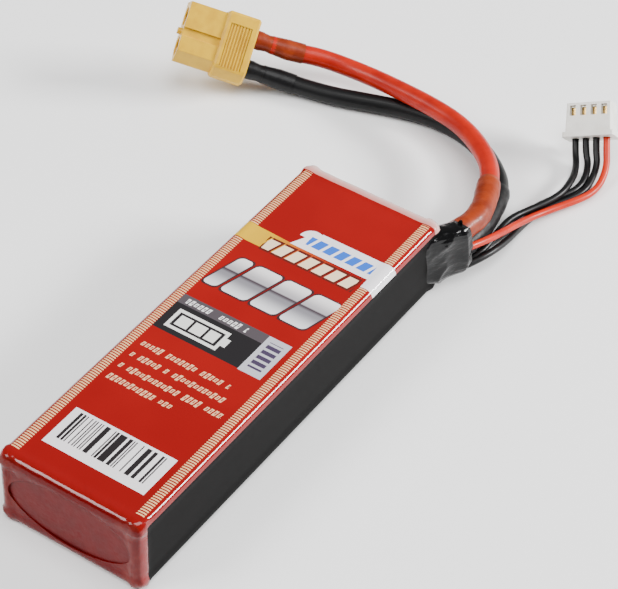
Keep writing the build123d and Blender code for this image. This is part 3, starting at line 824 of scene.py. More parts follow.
@dataclass(frozen=True)
class FoilPrint:
    """Mirror-like printed foil with a dark band across the middle."""

    name: str
    middle: float
    half: float
    pale: Colour = srgb(214, 214, 218)
    shades: tuple[tuple[float, float, Colour], ...] = (
        (-1.0, -0.1, srgb(120, 118, 124)),
        (-0.08, 0.12, srgb(62, 52, 58)),
        (0.12, 0.2, srgb(160, 156, 160)),
        (0.2, 0.95, srgb(226, 222, 222)),
    )

    def material(self) -> bpy.types.Material:
        """Make the foil, shaded along the pack from pale to dark to pale.

        Returns:
            The material.
        """
        sheet = FinishSheet(self.name)
        share = sheet.sum("DIVIDE", sheet.sum("SUBTRACT", sheet.y, self.middle), self.half)
        colour = self.pale
        for start, end, shade in self.shades:
            colour = sheet.mix(sheet.rise(share, start, end), colour, shade)
        sheet.give("Base Color", colour)
        sheet.shine(0.25, coat=0.5)
        sheet.give("Normal", sheet.bump(sheet.noise(3.0), strength=0.04, depth=0.05))
        return sheet.material


@dataclass(frozen=True)
class Floor:
    """Plain pale studio floor."""

    name: str = "studio_floor"
    colour: Colour = srgb(246, 246, 246)

    def material(self) -> bpy.types.Material:
        """Make the floor.

        Returns:
            The material.
        """
        sheet = FinishSheet(self.name)
        sheet.give("Base Color", self.colour)
        sheet.shine(0.7, specular=0.2)
        return sheet.material


ROLLED: Point = (0.3, 4.0, 1.0)


class Finish(Enum):
    """The finishes of this pack, by what they cover."""

    FILM = PrintedFilm("printed_film")
    LABEL = PrintedFilm("printed_label")
    BOOT = BlackFilm("black_boot_film", srgb(5, 5, 6), 0.7, 0.16)
    BLACK_SHEET = BlackFilm("black_sheet", srgb(20, 19, 20), 0.1, 0.35)
    RED_END = ShrinkSleeve("red_end_panel", srgb(98, 2, 3), srgb(90, 2, 3), 0.5)
    RED_LEAD = Silicone("red_insulation", srgb(172, 26, 3), srgb(154, 18, 2))
    BLACK_LEAD = Silicone("black_insulation", srgb(9, 9, 10), srgb(6, 6, 7), 0.42)
    RED_SLEEVE = ShrinkSleeve("red_sleeve", srgb(136, 48, 14), srgb(112, 34, 8))
    BLACK_SLEEVE = ShrinkSleeve("black_sleeve", srgb(13, 13, 14), srgb(8, 8, 9))
    RED_WIRE = Silicone("red_wire", srgb(190, 38, 4), srgb(172, 28, 3))
    YELLOW = Moulding("yellow_nylon", srgb(212, 166, 0), srgb(200, 152, 0), 0.38, 0.03)
    IVORY = Moulding("ivory_nylon", srgb(232, 230, 222), srgb(220, 217, 208), 0.4, 0.1, 0.12)
    GOLD = Metal("gold_plate", srgb(226, 178, 92), srgb(206, 156, 74))
    BRASS = Metal("tinned_brass", srgb(190, 160, 100), srgb(150, 120, 74))
    COPPER = Metal("bare_copper", srgb(200, 120, 84), srgb(176, 98, 66), 0.35)
    SOLDER = Metal("solder", srgb(190, 192, 196), srgb(160, 162, 168), 0.3)
    ALUMINIUM = Metal("aluminium_tab", srgb(206, 208, 212), srgb(186, 188, 194), 0.3, ROLLED)
    NICKEL = Metal("nickel_tab", srgb(190, 186, 176), srgb(170, 166, 156), 0.3, ROLLED)
    FOIL = Metal("cell_foil", srgb(196, 198, 202), srgb(176, 178, 184), 0.42)
    FOAM = Board("pad_foam", srgb(52, 52, 56), srgb(38, 38, 42), 1.5, 0.9, 0.6)
    PRINT_BLACK = ShrinkSleeve("black_print", srgb(58, 34, 36), srgb(48, 28, 30))
    GAUGE_FOIL = FoilPrint("gauge_foil", 14.1, 5.3)
    LAMINATE = Board("board_laminate", srgb(40, 96, 62), srgb(32, 80, 52), 1.0, 0.45, 0.15)
    CARD = Board("pressed_card", srgb(170, 160, 140), srgb(150, 140, 120), 1.2, 0.85, 0.4)
    TAPE = Silicone("amber_tape", srgb(196, 128, 30), srgb(176, 108, 22), 0.2)
    FLOOR = Floor()


class FinishBook:
    """Makes each finish once and hands it out."""

    def __init__(self) -> None:
        """Start with no material made."""
        self.made: dict[Finish, bpy.types.Material] = {}

    def material(self, finish: Finish) -> bpy.types.Material:
        """The material of a finish, made on first use.

        Args:
            finish: The finish.

        Returns:
            Its material.
        """
        if finish not in self.made:
            self.made[finish] = finish.value.material()
        return self.made[finish]

    def dress(self, obj: bpy.types.Object, finish: Finish) -> None:
        """Give an object this finish alone."""
        obj.data.materials.clear()
        obj.data.materials.append(self.material(finish))


book = FinishBook()


# ---------------------------------------------------------------------------
# Shared modelling steps
# ---------------------------------------------------------------------------


def deselect() -> None:
    """Leave edit mode and select nothing."""
    if bpy.context.object is not None and bpy.context.object.mode != "OBJECT":
        bpy.ops.object.mode_set(mode="OBJECT")
    bpy.ops.object.select_all(action="DESELECT")


def pick(obj: bpy.types.Object) -> None:
    """Select one object alone and make it the active one.

    Args:
        obj: The object.
    """
    deselect()
    obj.select_set(True)
    bpy.context.view_layer.objects.active = obj


def place_new(name: str, data: bpy.types.ID) -> bpy.types.Object:
    """Put a new object with this data in the scene.

    Args:
        name: The object's name.
        data: Its curve, camera or light.

    Returns:
        The object.
    """
    obj = bpy.data.objects.new(name, data)
    bpy.context.scene.collection.objects.link(obj)
    return obj


def as_mesh(curve: bpy.types.Object) -> bpy.types.Object:
    """Turn a curve object into a mesh.

    Args:
        curve: The curve object.

    Returns:
        The mesh object.
    """
    pick(curve)
    bpy.ops.object.convert(target="MESH")
    return bpy.context.object


def settle(obj: bpy.types.Object) -> None:
    """Move an object's place into its mesh and leave the object at the origin."""
    pick(obj)
    bpy.ops.object.transform_apply(location=True, rotation=True, scale=True)


def apply_all(obj: bpy.types.Object) -> None:
    """Apply every modifier of an object, in order.

    Args:
        obj: The object.
    """
    pick(obj)
    for modifier in list(obj.modifiers):
        bpy.ops.object.modifier_apply(modifier=modifier.name)


def add_wall(obj: bpy.types.Object, thickness: float) -> None:
    """Thicken a surface inwards, and apply this with the modifiers before it.

    Args:
        obj: The surface.
        thickness: The wall, in millimetres.
    """
    solid = obj.modifiers.new("wall", "SOLIDIFY")
    solid.thickness = thickness * MM
    solid.offset = -1.0
    apply_all(obj)


def smooth(obj: bpy.types.Object, degrees: float) -> None:
    """Shade an object smooth, up to this angle between faces."""
    pick(obj)
    bpy.ops.object.shade_smooth_by_angle(angle=math.radians(degrees))


def finish_piece(obj: bpy.types.Object, name: str, finish: Finish) -> bpy.types.Object:
    """Name a new piece, dress it and let it ride.

    Args:
        obj: The piece.
        name: Its name.
        finish: Its finish.

    Returns:
        The piece.
    """
    obj.name = name
    obj.data.name = name
    book.dress(obj, finish)
    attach(obj, ROOT)
    log.info("%s made", name)
    return obj


def dress_nodes(finishes: dict[str, Finish]) -> None:
    """Give CAD pieces their finishes.

    Args:
        finishes: The finish of each CAD node, by name.
    """
    for name, finish in finishes.items():
        book.dress(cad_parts[name], finish)
        log.info("%s dressed", name)


# ---------------------------------------------------------------------------
# Cords and sleeves
# ---------------------------------------------------------------------------


@dataclass
class Route:
    """Control points of a cord's smooth line, in millimetres."""

    points: list[Point]

    def curve(self, name: str, diameter: float) -> bpy.types.Object:
        """Make the cord as one open spline.

        Args:
            name: The object's name.
            diameter: Diameter in millimetres; 0 leaves a bare line.

        Returns:
            The curve object.
        """
        data = bpy.data.curves.new(name, "CURVE")
        data.dimensions = "3D"
        data.resolution_u = 14
        data.bevel_resolution = 8
        data.bevel_depth = diameter / 2 * MM
        data.use_fill_caps = diameter > 0
        spline = data.splines.new("NURBS")
        spline.points.add(len(self.points) - 1)
        for knot, place in zip(spline.points, self.points):
            knot.co = (place[0] * MM, place[1] * MM, place[2] * MM, 1.0)
        spline.order_u = 3
        spline.use_endpoint_u = True
        spline.use_smooth = True
        return place_new(name, data)

    def line(self) -> list[Vector]:
        """Read points along the smooth line.

        Returns:
            The points in metres, from the pack outwards.
        """
        bare = self.curve("bare_line", 0.0)
        bpy.context.view_layer.update()
        shape = bpy.data.meshes.new_from_object(bare)
        places = [vertex.co.copy() for vertex in shape.vertices]
        bpy.data.meshes.remove(shape)
        bpy.data.objects.remove(bare)
        return places


def stretch_of(line: list[Vector], start: float, end: float, step: float = 0.6) -> list[Vector]:
    """Even points along part of a line.

    Args:
        line: Points of the whole line, in metres.
        start: Where the part starts, in millimetres along the line.
        end: Where it ends.
        step: Distance between the points.

    Returns:
        The points, in metres.
    """
    reach = [0.0]
    for before, after in zip(line, line[1:]):
        reach.append(reach[-1] + (after - before).length / MM)
    count = max(2, round((end - start) / step))
    places = []
    for index in range(count + 1):
        want = start + (end - start) * index / count
        for place in range(len(line) - 1):
            if reach[place + 1] >= want or place == len(line) - 2:
                run = reach[place + 1] - reach[place]
                share = (want - reach[place]) / run if run > 0 else 0.0
                places.append(line[place].lerp(line[place + 1], share))
                break
    return places


def line_length(line: list[Vector]) -> float:
    """Length of a line of points, in millimetres."""
    return sum((after - before).length for before, after in zip(line, line[1:])) / MM


def tube(name: str, places: list[Vector], radii: list[float], wall: float) -> bpy.types.Object:
    """Sleeve through these points, with its own radius at each.

    Args:
        name: The object's name.
        places: Middle points, in metres.
        radii: Outer radius at each point, in millimetres.
        wall: Wall thickness, in millimetres.

    Returns:
        The sleeve as a closed mesh.
    """
    data = bpy.data.curves.new(name, "CURVE")
    data.dimensions = "3D"
    data.bevel_depth = MM
    data.bevel_resolution = 8
    data.use_fill_caps = False
    spline = data.splines.new("POLY")
    spline.points.add(len(places) - 1)
    for knot, place, radius in zip(spline.points, places, radii):
        knot.co = (*place, 1.0)
        knot.radius = radius
    obj = as_mesh(place_new(name, data))
    bpy.ops.object.mode_set(mode="EDIT")
    bpy.ops.mesh.select_all(action="SELECT")
    bpy.ops.mesh.remove_doubles(threshold=0.02 * MM)
    bpy.ops.mesh.normals_make_consistent(inside=False)
    bpy.ops.object.mode_set(mode="OBJECT")
    add_wall(obj, wall)
    smooth(obj, 50)
    return obj


@dataclass
class PlugPose:
    """Where a plug stands: its rear middle and the turn of its own axes."""

    place: Point
    heading: float
    pitch: float
    roll: float

    def axes(self) -> tuple[Vector, Vector, Vector]:
        """Work out the plug's own axes.

        Returns:
            Its X, Y and Z in the pack's frame; Z is its mating direction.
        """
        turn = math.radians(self.heading)
        rise = math.radians(self.pitch)
        spin = math.radians(self.roll)
        flat = math.cos(rise)
        axis = Vector((flat * math.cos(turn), flat * math.sin(turn), math.sin(rise)))
        level = Vector((-math.sin(turn), math.cos(turn), 0.0))
        side = level * math.cos(spin) + axis.cross(level) * math.sin(spin)
        return side, axis.cross(side), axis

    def point(self, x: float, y: float, z: float) -> Point:
        """A point given on the plug's own axes, in millimetres."""
        side, up, axis = self.axes()
        return tuple(Vector(self.place) + side * x + up * y + axis * z)


POWER_PLUG = PlugPose((-56.36, 86.48, 8.55), -149.0, 19.1, -48.0)
BALANCE_PLUG = PlugPose((22.56, 109.93, 5.5), 122.5, 38.2, 154.5)


@dataclass
class LeadPair:
    """The two thick leads with their root and plug sleeves."""

    diameter: float = 4.4
    root_sleeve: float = 5.4
    root_wall: float = 0.42
    root_start: float = 9.4
    root_lip: float = 0.12
    tail_wall: float = 0.22
    tail_length: float = 8.0
    tail_step: float = 0.45
    tail_clearance: float = 0.08
    tail_shape: tuple[tuple[float, float], ...] = (
        (0.0, 2.3), (1.4, 2.28), (2.4, 2.12), (3.3, 2.02), (4.1, 2.12),
        (4.8, 2.42), (5.6, 2.48), (11.0, 2.46), (12.2, 2.38),
    )
    cup_reach: float = 4.2
    last_run: float = 5.5
    contact_pitch: float = 7.2
    positive: list[Point] = field(default_factory=lambda: [
        (13.6, 47.35, 12.0), (16.3, 52.6, 12.0), (18.6, 59.8, 12.0), (18.9, 66.6, 11.2),
        (15.8, 75.0, 10.6), (11.5, 83.4, 9.3), (4.6, 90.0, 8.2), (-3.2, 94.4, 7.6),
        (-11.8, 96.5, 7.2), (-20.5, 97.8, 6.6), (-28.9, 99.1, 5.7), (-36.8, 99.1, 5.5),
        (-43.6, 97.2, 6.6),
    ])
    negative: list[Point] = field(default_factory=lambda: [
        (13.6, 47.35, 6.5), (16.3, 52.6, 6.5), (18.6, 59.8, 6.4), (18.3, 68.1, 5.6),
        (16.4, 77.0, 4.7), (13.6, 85.3, 3.6), (7.3, 91.9, 2.7), (-0.9, 96.9, 2.4),
        (-10.4, 98.6, 2.25), (-19.8, 97.2, 2.2), (-28.1, 94.3, 2.25), (-35.5, 91.7, 2.2),
        (-42.2, 90.0, 2.4),
    ])

    def route(self, start: list[Point], side: int) -> Route:
        """Whole route of one lead, to the rear of its contact.

        Args:
            start: The route's points up to the plug sleeve.
            side: -1 for the positive contact, 1 for the negative one.

        Returns:
            The route.
        """
        x = side * self.contact_pitch / 2
        bend = POWER_PLUG.point(x, 0, -self.cup_reach - self.last_run)
        end = POWER_PLUG.point(x, 0, -self.cup_reach)
        return Route(start + [bend, end])

    def root(self, name: str, line: list[Vector], end: float) -> bpy.types.Object:
        """Sleeve over the root of a lead, slightly wavy, with a drawn-in lip.

        Args:
            name: The sleeve's name.
            line: Points along the lead, in metres.
            end: Where the sleeve ends, in millimetres along the lead.

        Returns:
            The sleeve.
        """
        places = stretch_of(line, self.root_start, end)
        outer = self.root_sleeve / 2
        radii = []
        for index in range(len(places)):
            share = index / (len(places) - 1)
            ripple = 0.05 * math.sin(17 * share) + 0.03 * math.sin(41 * share)
            lip = self.root_lip * max(0.0, 1 - (1 - share) / 0.05)
            radii.append(outer + ripple - lip)
        return tube(name, places, radii, self.root_wall)

    def tail(self, name: str, line: list[Vector], side: int) -> bpy.types.Object:
        """Sleeve over a contact's cup, its neck and the end of the lead.

        Args:
            name: The sleeve's name.
            line: Points along the lead, in metres.
            side: -1 for the positive contact, 1 for the negative one.

        Returns:
            The sleeve.
        """
        total = line_length(line)
        x = side * self.contact_pitch / 2
        face = Vector(POWER_PLUG.point(x, 0, -self.tail_clearance)) * MM
        along = stretch_of(line, total, total - self.tail_length, self.tail_step)
        places = [face.lerp(along[0], index / 10) for index in range(10)] + along
        walked = 0.0
        radii = [self.tail_radius(walked)]
        for before, after in zip(places, places[1:]):
            walked += (after - before).length / MM
            radii.append(self.tail_radius(walked))
        return tube(name, places, radii, self.tail_wall)

    def tail_radius(self, walked: float) -> float:
        """Outer radius of a plug sleeve.

        Args:
            walked: Distance from the plug, in millimetres.

        Returns:
            The radius in millimetres.
        """
        for (start, low), (end, high) in zip(self.tail_shape, self.tail_shape[1:]):
            if walked <= end:
                share = (walked - start) / (end - start)
                share = share * share * (3 - 2 * share)
                return low + (high - low) * share
        return self.tail_shape[-1][1]

    def build(self) -> None:
        boot = LeadBoot().build()
        plan = (
            ("positive", self.positive, -1, Finish.RED_LEAD, Finish.RED_SLEEVE, "red", 32.5),
            ("negative", self.negative, 1, Finish.BLACK_LEAD, Finish.BLACK_SLEEVE, "black", 37.5),
        )
        for pole, start, side, lead_finish, sleeve_finish, colour, root_end in plan:
            route = self.route(start, side)
            line = route.line()
            lead = route.curve(f"{pole}_lead_cord", self.diameter)
            finish_piece(lead, f"{pole}_lead_cord", lead_finish)
            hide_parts(f"{pole}_lead")
            root = self.root(f"{pole}_root_tube", line, root_end)
            finish_piece(root, f"{pole}_root_tube", sleeve_finish)
            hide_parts(f"{pole}_root_sleeve")
            tail = self.tail(f"{pole}_plug_tube", line, side)
            finish_piece(tail, f"{pole}_plug_tube", sleeve_finish)
            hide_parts(f"{pole}_plug_sleeve")


@dataclass
class BalanceLoom:
    """The four thin wires to the balance plug."""

    diameter: float = 1.6
    last_run: float = 2.9
    pitch: float = 2.5
    routes: dict[str, list[Point]] = field(default_factory=lambda: {
        "balance_wire_black_1": [
            (13.35, 47.0, 2.75), (15.6, 52.0, 2.8), (19.0, 57.7, 2.85), (21.4, 64.2, 3.4),
            (20.9, 71.2, 3.7), (20.5, 77.7, 3.2), (22.2, 83.3, 2.6), (24.2, 88.2, 2.55),
            (25.3, 92.4, 2.7), (25.0, 96.2, 2.6), (24.0, 100.5, 2.0), (22.2, 104.5, 1.6),
        ],
        "balance_wire_black_2": [
            (11.4, 47.0, 3.1), (13.7, 52.0, 3.0), (16.5, 58.2, 3.0), (19.3, 64.8, 2.3),
            (20.7, 71.2, 1.5), (20.9, 77.6, 1.0), (21.2, 84.0, 0.85), (22.9, 89.7, 0.9),
            (25.3, 94.3, 0.85), (26.6, 98.0, 0.9), (26.1, 102.1, 1.0), (24.4, 106.1, 1.6),
        ],
        "balance_wire_black_3": [
            (15.2, 47.0, 3.7), (17.3, 52.0, 3.55), (20.7, 57.6, 3.75), (23.3, 64.0, 4.2),
            (23.6, 70.9, 2.9), (22.9, 77.6, 1.4), (23.0, 83.9, 0.85), (24.7, 89.3, 0.9),
            (27.0, 93.9, 0.9), (28.3, 98.0, 1.0), (27.6, 102.6, 1.15), (26.6, 106.3, 2.3),
        ],
        "balance_wire_red": [
            (15.1, 47.0, 9.25), (17.3, 52.0, 9.25), (20.7, 57.4, 9.2), (22.4, 63.9, 7.8),
            (22.8, 70.9, 5.5), (23.1, 77.6, 3.4), (24.2, 83.5, 2.0), (26.3, 88.8, 1.5),
            (28.6, 93.4, 1.4), (30.1, 97.8, 1.2), (30.0, 102.4, 1.3), (29.0, 106.3, 3.0),
        ],
    })

    def build(self) -> None:
        for pole, (name, start) in enumerate(self.routes.items()):
            x = (pole - 1.5) * self.pitch
            ends = [BALANCE_PLUG.point(x, 0, -self.last_run), BALANCE_PLUG.point(x, 0, 0)]
            route = Route(start + ends)
            length = line_length(route.line())
            red = name.endswith("red")
            wire = route.curve(f"{name}_cord", self.diameter)
            finish_piece(wire, f"{name}_cord", Finish.RED_WIRE if red else Finish.BLACK_LEAD)
            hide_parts(name)


# ---------------------------------------------------------------------------
# Pack body
# ---------------------------------------------------------------------------


@dataclass
class LeadBoot:
    """Black film boot that is shrunk over the lead roots at the pack's corner.

    Each section gives its place along the pack, then its left, right, base and top.
    """

    wall: float = 0.5
    corner: float = 2.9
    crease: float = 0.5
    crease_size: float = 6.5
    sections: tuple[tuple[float, float, float, float, float], ...] = (
        (47.25, 9.8, 16.7, 1.3, 16.1),
        (50.5, 11.2, 18.6, 1.3, 16.1),
        (54.0, 12.8, 20.4, 1.3, 15.8),
        (56.8, 14.2, 22.2, 1.6, 15.2),
        (58.6, 15.5, 21.9, 2.9, 14.9),
    )

    def build(self) -> bpy.types.Object:
        """Make the boot and let it stand for its CAD solid.

        Returns:
            The boot.
        """
        deselect()
        near, left, right, base, top = self.sections[0]
        middle = ((left + right) / 2 * MM, near * MM, (base + top) / 2 * MM)
        bpy.ops.mesh.primitive_plane_add(size=1.0, location=middle, rotation=(math.pi / 2, 0, 0))
        obj = bpy.context.object
        obj.scale = ((right - left) * MM, (top - base) * MM, 1.0)
        settle(obj)
        bpy.ops.object.mode_set(mode="EDIT")
        bpy.ops.mesh.select_all(action="SELECT")
        before = self.sections[0]
        for after in self.sections[1:]:
            self.extrude_section(before, after)
            before = after
        bpy.ops.mesh.delete(type="ONLY_FACE")
        bpy.ops.object.mode_set(mode="OBJECT")
        self.open_foot(obj)
        self.shape(obj)
        finish_piece(obj, "lead_boot_film", Finish.BOOT)
        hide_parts("lead_boot")
        return obj

    def extrude_section(self, before: tuple[float, ...], after: tuple[float, ...]) -> None:
        """Extrude the selected end face to the next section's size and place.

        Args:
            before: The section that the face has now.
            after: The section that it gets.
        """
        shift = (
            (after[1] + after[2] - before[1] - before[2]) / 2 * MM,
            (after[0] - before[0]) * MM,
            (after[3] + after[4] - before[3] - before[4]) / 2 * MM,
        )
        bpy.ops.mesh.extrude_region_move(TRANSFORM_OT_translate={"value": shift})
        wide = (after[2] - after[1]) / (before[2] - before[1])
        high = (after[4] - after[3]) / (before[4] - before[3])
        bpy.ops.transform.resize(value=(wide, 1.0, high))

    def open_foot(self, obj: bpy.types.Object) -> None:
        """Delete the face at the pack end, so the boot is an open tube.

        Args:
            obj: The boot.
        """
        near = self.sections[0][0] * MM
        for face in obj.data.polygons:
            corners = [obj.data.vertices[i].co for i in face.vertices]
            face.select = all(abs(corner.y - near) < SAME_PLACE for corner in corners)
        bpy.ops.object.mode_set(mode="EDIT")
        bpy.ops.mesh.select_mode(type="FACE")
        bpy.ops.mesh.delete(type="ONLY_FACE")
        bpy.ops.object.mode_set(mode="OBJECT")

    def shape(self, obj: bpy.types.Object) -> None:
        """Round the long edges, crease the film and give it a wall.

        Args:
            obj: The boot.
        """
        for edge in obj.data.edges:
            first, second = (obj.data.vertices[i].co for i in edge.vertices)
            edge.select = abs(first.y - second.y) > SAME_PLACE
        bpy.ops.object.mode_set(mode="EDIT")
        bpy.ops.mesh.select_mode(type="EDGE")
        bpy.ops.mesh.bevel(offset=self.corner * MM, segments=5, profile=0.5)
        bpy.ops.mesh.select_all(action="SELECT")
        bpy.ops.mesh.normals_make_consistent(inside=False)
        bpy.ops.mesh.subdivide(number_cuts=3)
        bpy.ops.object.mode_set(mode="OBJECT")
        finer = obj.modifiers.new("finer", "SUBSURF")
        finer.levels = 2
        finer.render_levels = 2
        crumple = bpy.data.textures.new("film_crumple", "MUSGRAVE")
        crumple.musgrave_type = "RIDGED_MULTIFRACTAL"
        crumple.noise_scale = self.crease_size * MM
        crumple.octaves = 2.0
        push = obj.modifiers.new("crumple", "DISPLACE")
        push.texture = crumple
        push.texture_coords = "LOCAL"
        push.strength = self.crease * MM
        push.mid_level = 0.9
        add_wall(obj, self.wall)
        smooth(obj, 60)


@dataclass
class ShrinkFilm:
    """Shrunk film over the whole pack, drawn round the corners, open over the near end."""

    width: float = 34.0
    length: float = 106.0
    height: float = 18.0
    edge: float = 1.4
    corner: float = 1.7
    wall: float = 0.25
    grain: float = 0.75
    pucker: float = 0.24
    crease_size: float = 4.2
    far_reach: float = 7.0
    near_reach: float = 5.0
    face_share: float = 0.45
    calm_foot: float = 3
    opening: tuple[float, float] = (29.6, 13.8)

    def build(self) -> bpy.types.Object:
        """Make the film and let it stand for its CAD solid.

        Returns:
            The film.
        """
        deselect()
        bpy.ops.mesh.primitive_cube_add(size=1.0, location=(0, 0, self.height / 2 * MM))
        obj = bpy.context.object
        obj.scale = (self.width * MM, self.length * MM, self.height * MM)
        settle(obj)
        self.round_edges(obj, (0, 1), self.corner)
        self.round_edges(obj, (2,), self.edge)
        finer = obj.modifiers.new("finer", "REMESH")
        finer.mode = "VOXEL"
        finer.voxel_size = self.grain * MM
        apply_all(obj)
        self.draw_tight(obj)
        add_wall(obj, self.wall)
        self.cut_opening(obj)
        for vertex in obj.data.vertices:
            vertex.co.z = max(vertex.co.z, 0.0)
        smooth(obj, 35)
        finish_piece(obj, "shrink_film", Finish.FILM)
        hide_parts("shrink_wrap")
        return obj

    def round_edges(self, obj: bpy.types.Object, flat_axes: tuple[int, ...], radius: float) -> None:
        """Bevel the edges that don't move along the given axes.

        Args:
            obj: The block.
            flat_axes: Axes along which both ends of an edge are level; (0, 1) takes the
                upright edges and (2,) those round the top and the base.
            radius: Radius in millimetres.
        """
        half = self.height / 2 * MM
        for edge in obj.data.edges:
            first, second = (obj.data.vertices[i].co for i in edge.vertices)
            level = all(abs(first[axis] - second[axis]) < SAME_PLACE for axis in flat_axes)
            sharp = len(flat_axes) == 2 or abs(abs(first.z - half) - half) < SAME_PLACE
            edge.select = level and sharp
        bpy.ops.object.mode_set(mode="EDIT")
        bpy.ops.mesh.select_mode(type="EDGE")
        bpy.ops.mesh.bevel(offset=radius * MM, segments=5, profile=0.5)
        bpy.ops.object.mode_set(mode="OBJECT")

    def draw_tight(self, obj: bpy.types.Object) -> None:
        """Pucker the film near both ends, where it has shrunk round the corners.

        Args:
            obj: The film.
        """
        group = obj.vertex_groups.new(name="ends")
        for vertex in obj.data.vertices:
            from_end = self.length / 2 - abs(vertex.co.y) / MM
            reach = self.far_reach if vertex.co.y > 0 else self.near_reach
            share = max(0.0, 1 - from_end / reach)
            end_face = self.face_share if from_end < 0.2 and vertex.co.y < 0 else 1.0
            above = min(1.0, vertex.co.z / (self.calm_foot * MM))
            group.add([vertex.index], (0.05 + 0.95 * share * end_face) * above, "REPLACE")
        creases = bpy.data.textures.new("film_creases", "CLOUDS")
        creases.noise_scale = self.crease_size * MM
        creases.noise_depth = 2
        push = obj.modifiers.new("creases", "DISPLACE")
        push.texture = creases
        push.texture_coords = "LOCAL"
        push.vertex_group = "ends"
        push.strength = -self.pucker * MM
        push.mid_level = 0.22
        apply_all(obj)

    def cut_opening(self, obj: bpy.types.Object) -> None:
        """Cut the oval opening over the near end.

        Args:
            obj: The film.
        """
        deselect()
        wide, high = self.opening
        bpy.ops.mesh.primitive_cylinder_add(
            vertices=96,
            radius=0.5,
            depth=3 * MM,
            location=(0, -self.length / 2 * MM, self.height / 2 * MM),
            rotation=(math.pi / 2, 0, 0),
        )
        cutter = bpy.context.object
        cutter.scale = (wide * MM, high * MM, 1.0)
        settle(cutter)
        cut = obj.modifiers.new("opening", "BOOLEAN")
        cut.operation = "DIFFERENCE"
        cut.solver = "EXACT"
        cut.object = cutter
        apply_all(obj)
        bpy.data.objects.remove(cutter)


@dataclass
class GaugeBlocks:
    """Row of four leaning foil blocks printed across the label, like a charge gauge.

    Each block gives its middle across the pack and its width.
    """

    top: float = 18.0
    middle: float = 14.1
    height: float = 10.6
    corner: float = 1.1
    lean: float = 0.26
    ink: float = 0.05
    blocks: tuple[tuple[float, float], ...] = ((-10.6, 3.4), (-4.7, 6.4), (2.6, 6.4), (9.9, 6.4))

    def outline(self, width: float, grow: float) -> list[tuple[float, float]]:
        """Outline of a block with rounded corners, about its own middle.

        Args:
            width: The block's width.
            grow: How far the outline stands out.

        Returns:
            The outline's points, in millimetres.
        """
        steps = 6
        half_x = width / 2 + grow
        half_y = self.height / 2 + grow
        radius = self.corner
        places = []
        for quarter, (sign_x, sign_y) in enumerate(((1, 1), (-1, 1), (-1, -1), (1, -1))):
            for step in range(steps + 1):
                turn = math.pi / 2 * (quarter + step / steps)
                x = sign_x * (half_x - radius) + radius * math.cos(turn)
                y = sign_y * (half_y - radius) + radius * math.sin(turn)
                places.append((x, y))
        return places

    def sheet(self, name: str, grow: float, level: float) -> bpy.types.Object:
        """Make the four blocks as one thin piece.

        Args:
            name: The object's name.
            grow: How far the outlines stand out, in millimetres.
            level: Height of the print above the film, in millimetres.

        Returns:
            The piece.
        """
        data = bpy.data.curves.new(name, "CURVE")
        data.dimensions = "2D"
        data.fill_mode = "BOTH"
        for middle, width in self.blocks:
            shape = self.outline(width, grow)
            spline = data.splines.new("POLY")
            spline.points.add(len(shape) - 1)
            spline.use_cyclic_u = True
            for knot, (x, y) in zip(spline.points, shape):
                knot.co = ((middle + x + self.lean * y) * MM, (self.middle + y) * MM, 0.0, 1.0)
        obj = as_mesh(place_new(name, data))
        obj.location = (0.0, 0.0, (self.top + level) * MM)
        settle(obj)
        add_wall(obj, self.ink)
        return obj

    def build(self) -> None:
        """Make the dark outline print and the foil on it."""
        shadow = self.sheet("gauge_outline_print", 0.36, 0.03)
        finish_piece(shadow, "gauge_outline_print", Finish.PRINT_BLACK)
        foil = self.sheet("gauge_foil_print", 0.0, 0.06)
        finish_piece(foil, "gauge_foil_print", Finish.GAUGE_FOIL)


@dataclass
class PackBody:
    """The wrap and everything sealed in it."""

    finishes: dict[str, Finish] = field(default_factory=lambda: {
        "top_label": Finish.LABEL,
        "bottom_label": Finish.BLACK_SHEET,
        "side_strip_left": Finish.BLACK_SHEET,
        "side_strip_right": Finish.BLACK_SHEET,
        "near_end_pad": Finish.RED_END,
        "far_end_pad": Finish.FOAM,
        "stiffening_card": Finish.CARD,
        "cell_1": Finish.FOIL,
        "cell_2": Finish.FOIL,
        "cell_3": Finish.FOIL,
        "cell_pad_1": Finish.FOAM,
        "cell_pad_2": Finish.FOAM,
        "positive_tabs": Finish.ALUMINIUM,
        "negative_tabs": Finish.NICKEL,
        "tab_board": Finish.LAMINATE,
        "series_links": Finish.COPPER,
        "solder_joints": Finish.SOLDER,
        "board_tape": Finish.TAPE,
    })

    def build(self) -> None:
        """Dress the CAD pieces, and add the film and the printed foil."""
        dress_nodes(self.finishes)
        ShrinkFilm().build()
        GaugeBlocks().build()


@dataclass
class Plugs:
    """Power plug and balance plug, as the CAD makes them."""

    finishes: dict[str, Finish] = field(default_factory=lambda: {
        "power_plug_housing": Finish.YELLOW,
        "positive_socket": Finish.GOLD,
        "negative_socket": Finish.GOLD,
        "balance_plug_housing": Finish.IVORY,
        "balance_terminals": Finish.BRASS,
    })

    def build(self) -> None:
        """Dress both plugs."""
        dress_nodes(self.finishes)


# ---------------------------------------------------------------------------
# Studio
# ---------------------------------------------------------------------------


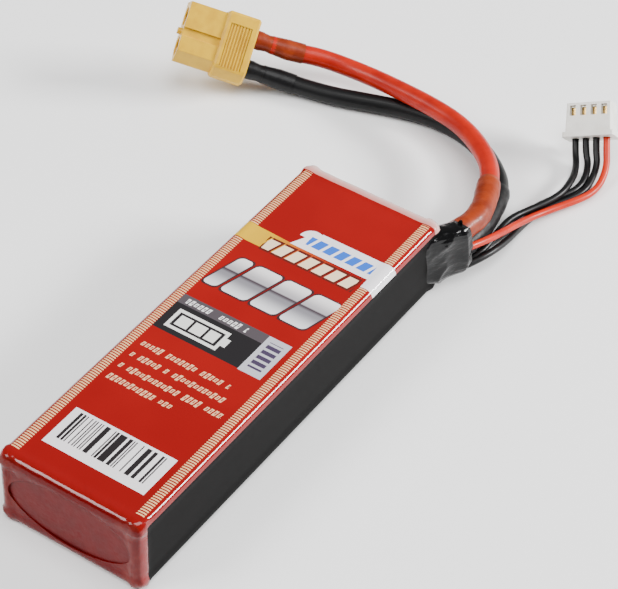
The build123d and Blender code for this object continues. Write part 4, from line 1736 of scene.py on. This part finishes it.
@dataclass
class Studio:
    """Camera, floor and soft lights.

    Camera sizes are in millimetres, those of the floor and the lights in metres.
    """

    azimuth: float = 33.07
    elevation: float = 43.30
    roll: float = 1.79
    across: float = 16.25
    up: float = 20.58
    distance: float = 514.83
    lens: float = 145.19
    floor_size: float = 4.0
    floor_level: float = -0.0002
    aim: Point = (-0.01, 0.03, 0.01)
    sky: float = 0.30

    def camera(self) -> None:
        """Place the camera."""
        turn = math.radians(self.azimuth)
        rise = math.radians(self.elevation)
        tilt = math.radians(self.roll)
        flat = math.cos(rise)
        back = Vector((math.sin(turn) * flat, -math.cos(turn) * flat, math.sin(rise)))
        level = Vector((math.cos(turn), math.sin(turn), 0.0))
        steep = back.cross(level)
        right = level * math.cos(tilt) + steep * math.sin(tilt)
        above = steep * math.cos(tilt) - level * math.sin(tilt)
        data = bpy.data.cameras.new("camera")
        data.lens = self.lens
        data.sensor_width = 36.0
        data.clip_start = 0.01
        camera = place_new("camera", data)
        place = (right * self.across + above * self.up + back * self.distance) * MM
        turned = Matrix((right, above, back)).transposed().to_4x4()
        camera.matrix_world = Matrix.Translation(place) @ turned
        bpy.context.scene.camera = camera

    def soft_light(
        self, name: str, place: Point, size: tuple[float, float], power: float
    ) -> None:
        """Add one soft light that faces the pack.

        Args:
            name: The light's name.
            place: Its middle, in metres.
            size: Its width and height, in metres.
            power: Its power in watts.
        """
        data = bpy.data.lights.new(name, "AREA")
        data.shape = "RECTANGLE"
        data.size, data.size_y = size
        data.energy = power
        light = place_new(name, data)
        light.location = place
        aim = Vector(self.aim) - Vector(place)
        light.rotation_euler = aim.to_track_quat("-Z", "Y").to_euler()

    def build(self) -> None:
        """Make the floor, the lights and the world."""
        deselect()
        bpy.ops.mesh.primitive_plane_add(size=self.floor_size, location=(0, 0, self.floor_level))
        floor = bpy.context.object
        floor.name = "studio_floor"
        settle(floor)
        book.dress(floor, Finish.FLOOR)
        self.soft_light("key_softbox", (-0.62, -0.62, 0.86), (0.6, 0.5), 13.0)
        self.soft_light("rim_softbox", (0.72, 0.64, 0.42), (0.4, 0.18), 22.0)
        self.soft_light("top_softbox", (0.25, -0.05, 1.2), (0.8, 0.8), 14.0)
        world = bpy.data.worlds.new("studio_world")
        world.use_nodes = True
        background = world.node_tree.nodes["Background"]
        background.inputs["Color"].default_value = (1.0, 1.0, 1.0, 1.0)
        background.inputs["Strength"].default_value = self.sky
        bpy.context.scene.world = world


def main() -> None:
    """Build the scene in order."""
    logging.basicConfig(level=logging.INFO, format="%(name)s: %(message)s")
    studio = Studio()
    studio.camera()
    LeadPair().build()
    BalanceLoom().build()
    PackBody().build()
    Plugs().build()
    studio.build()


if __name__ == "__main__":
    main()
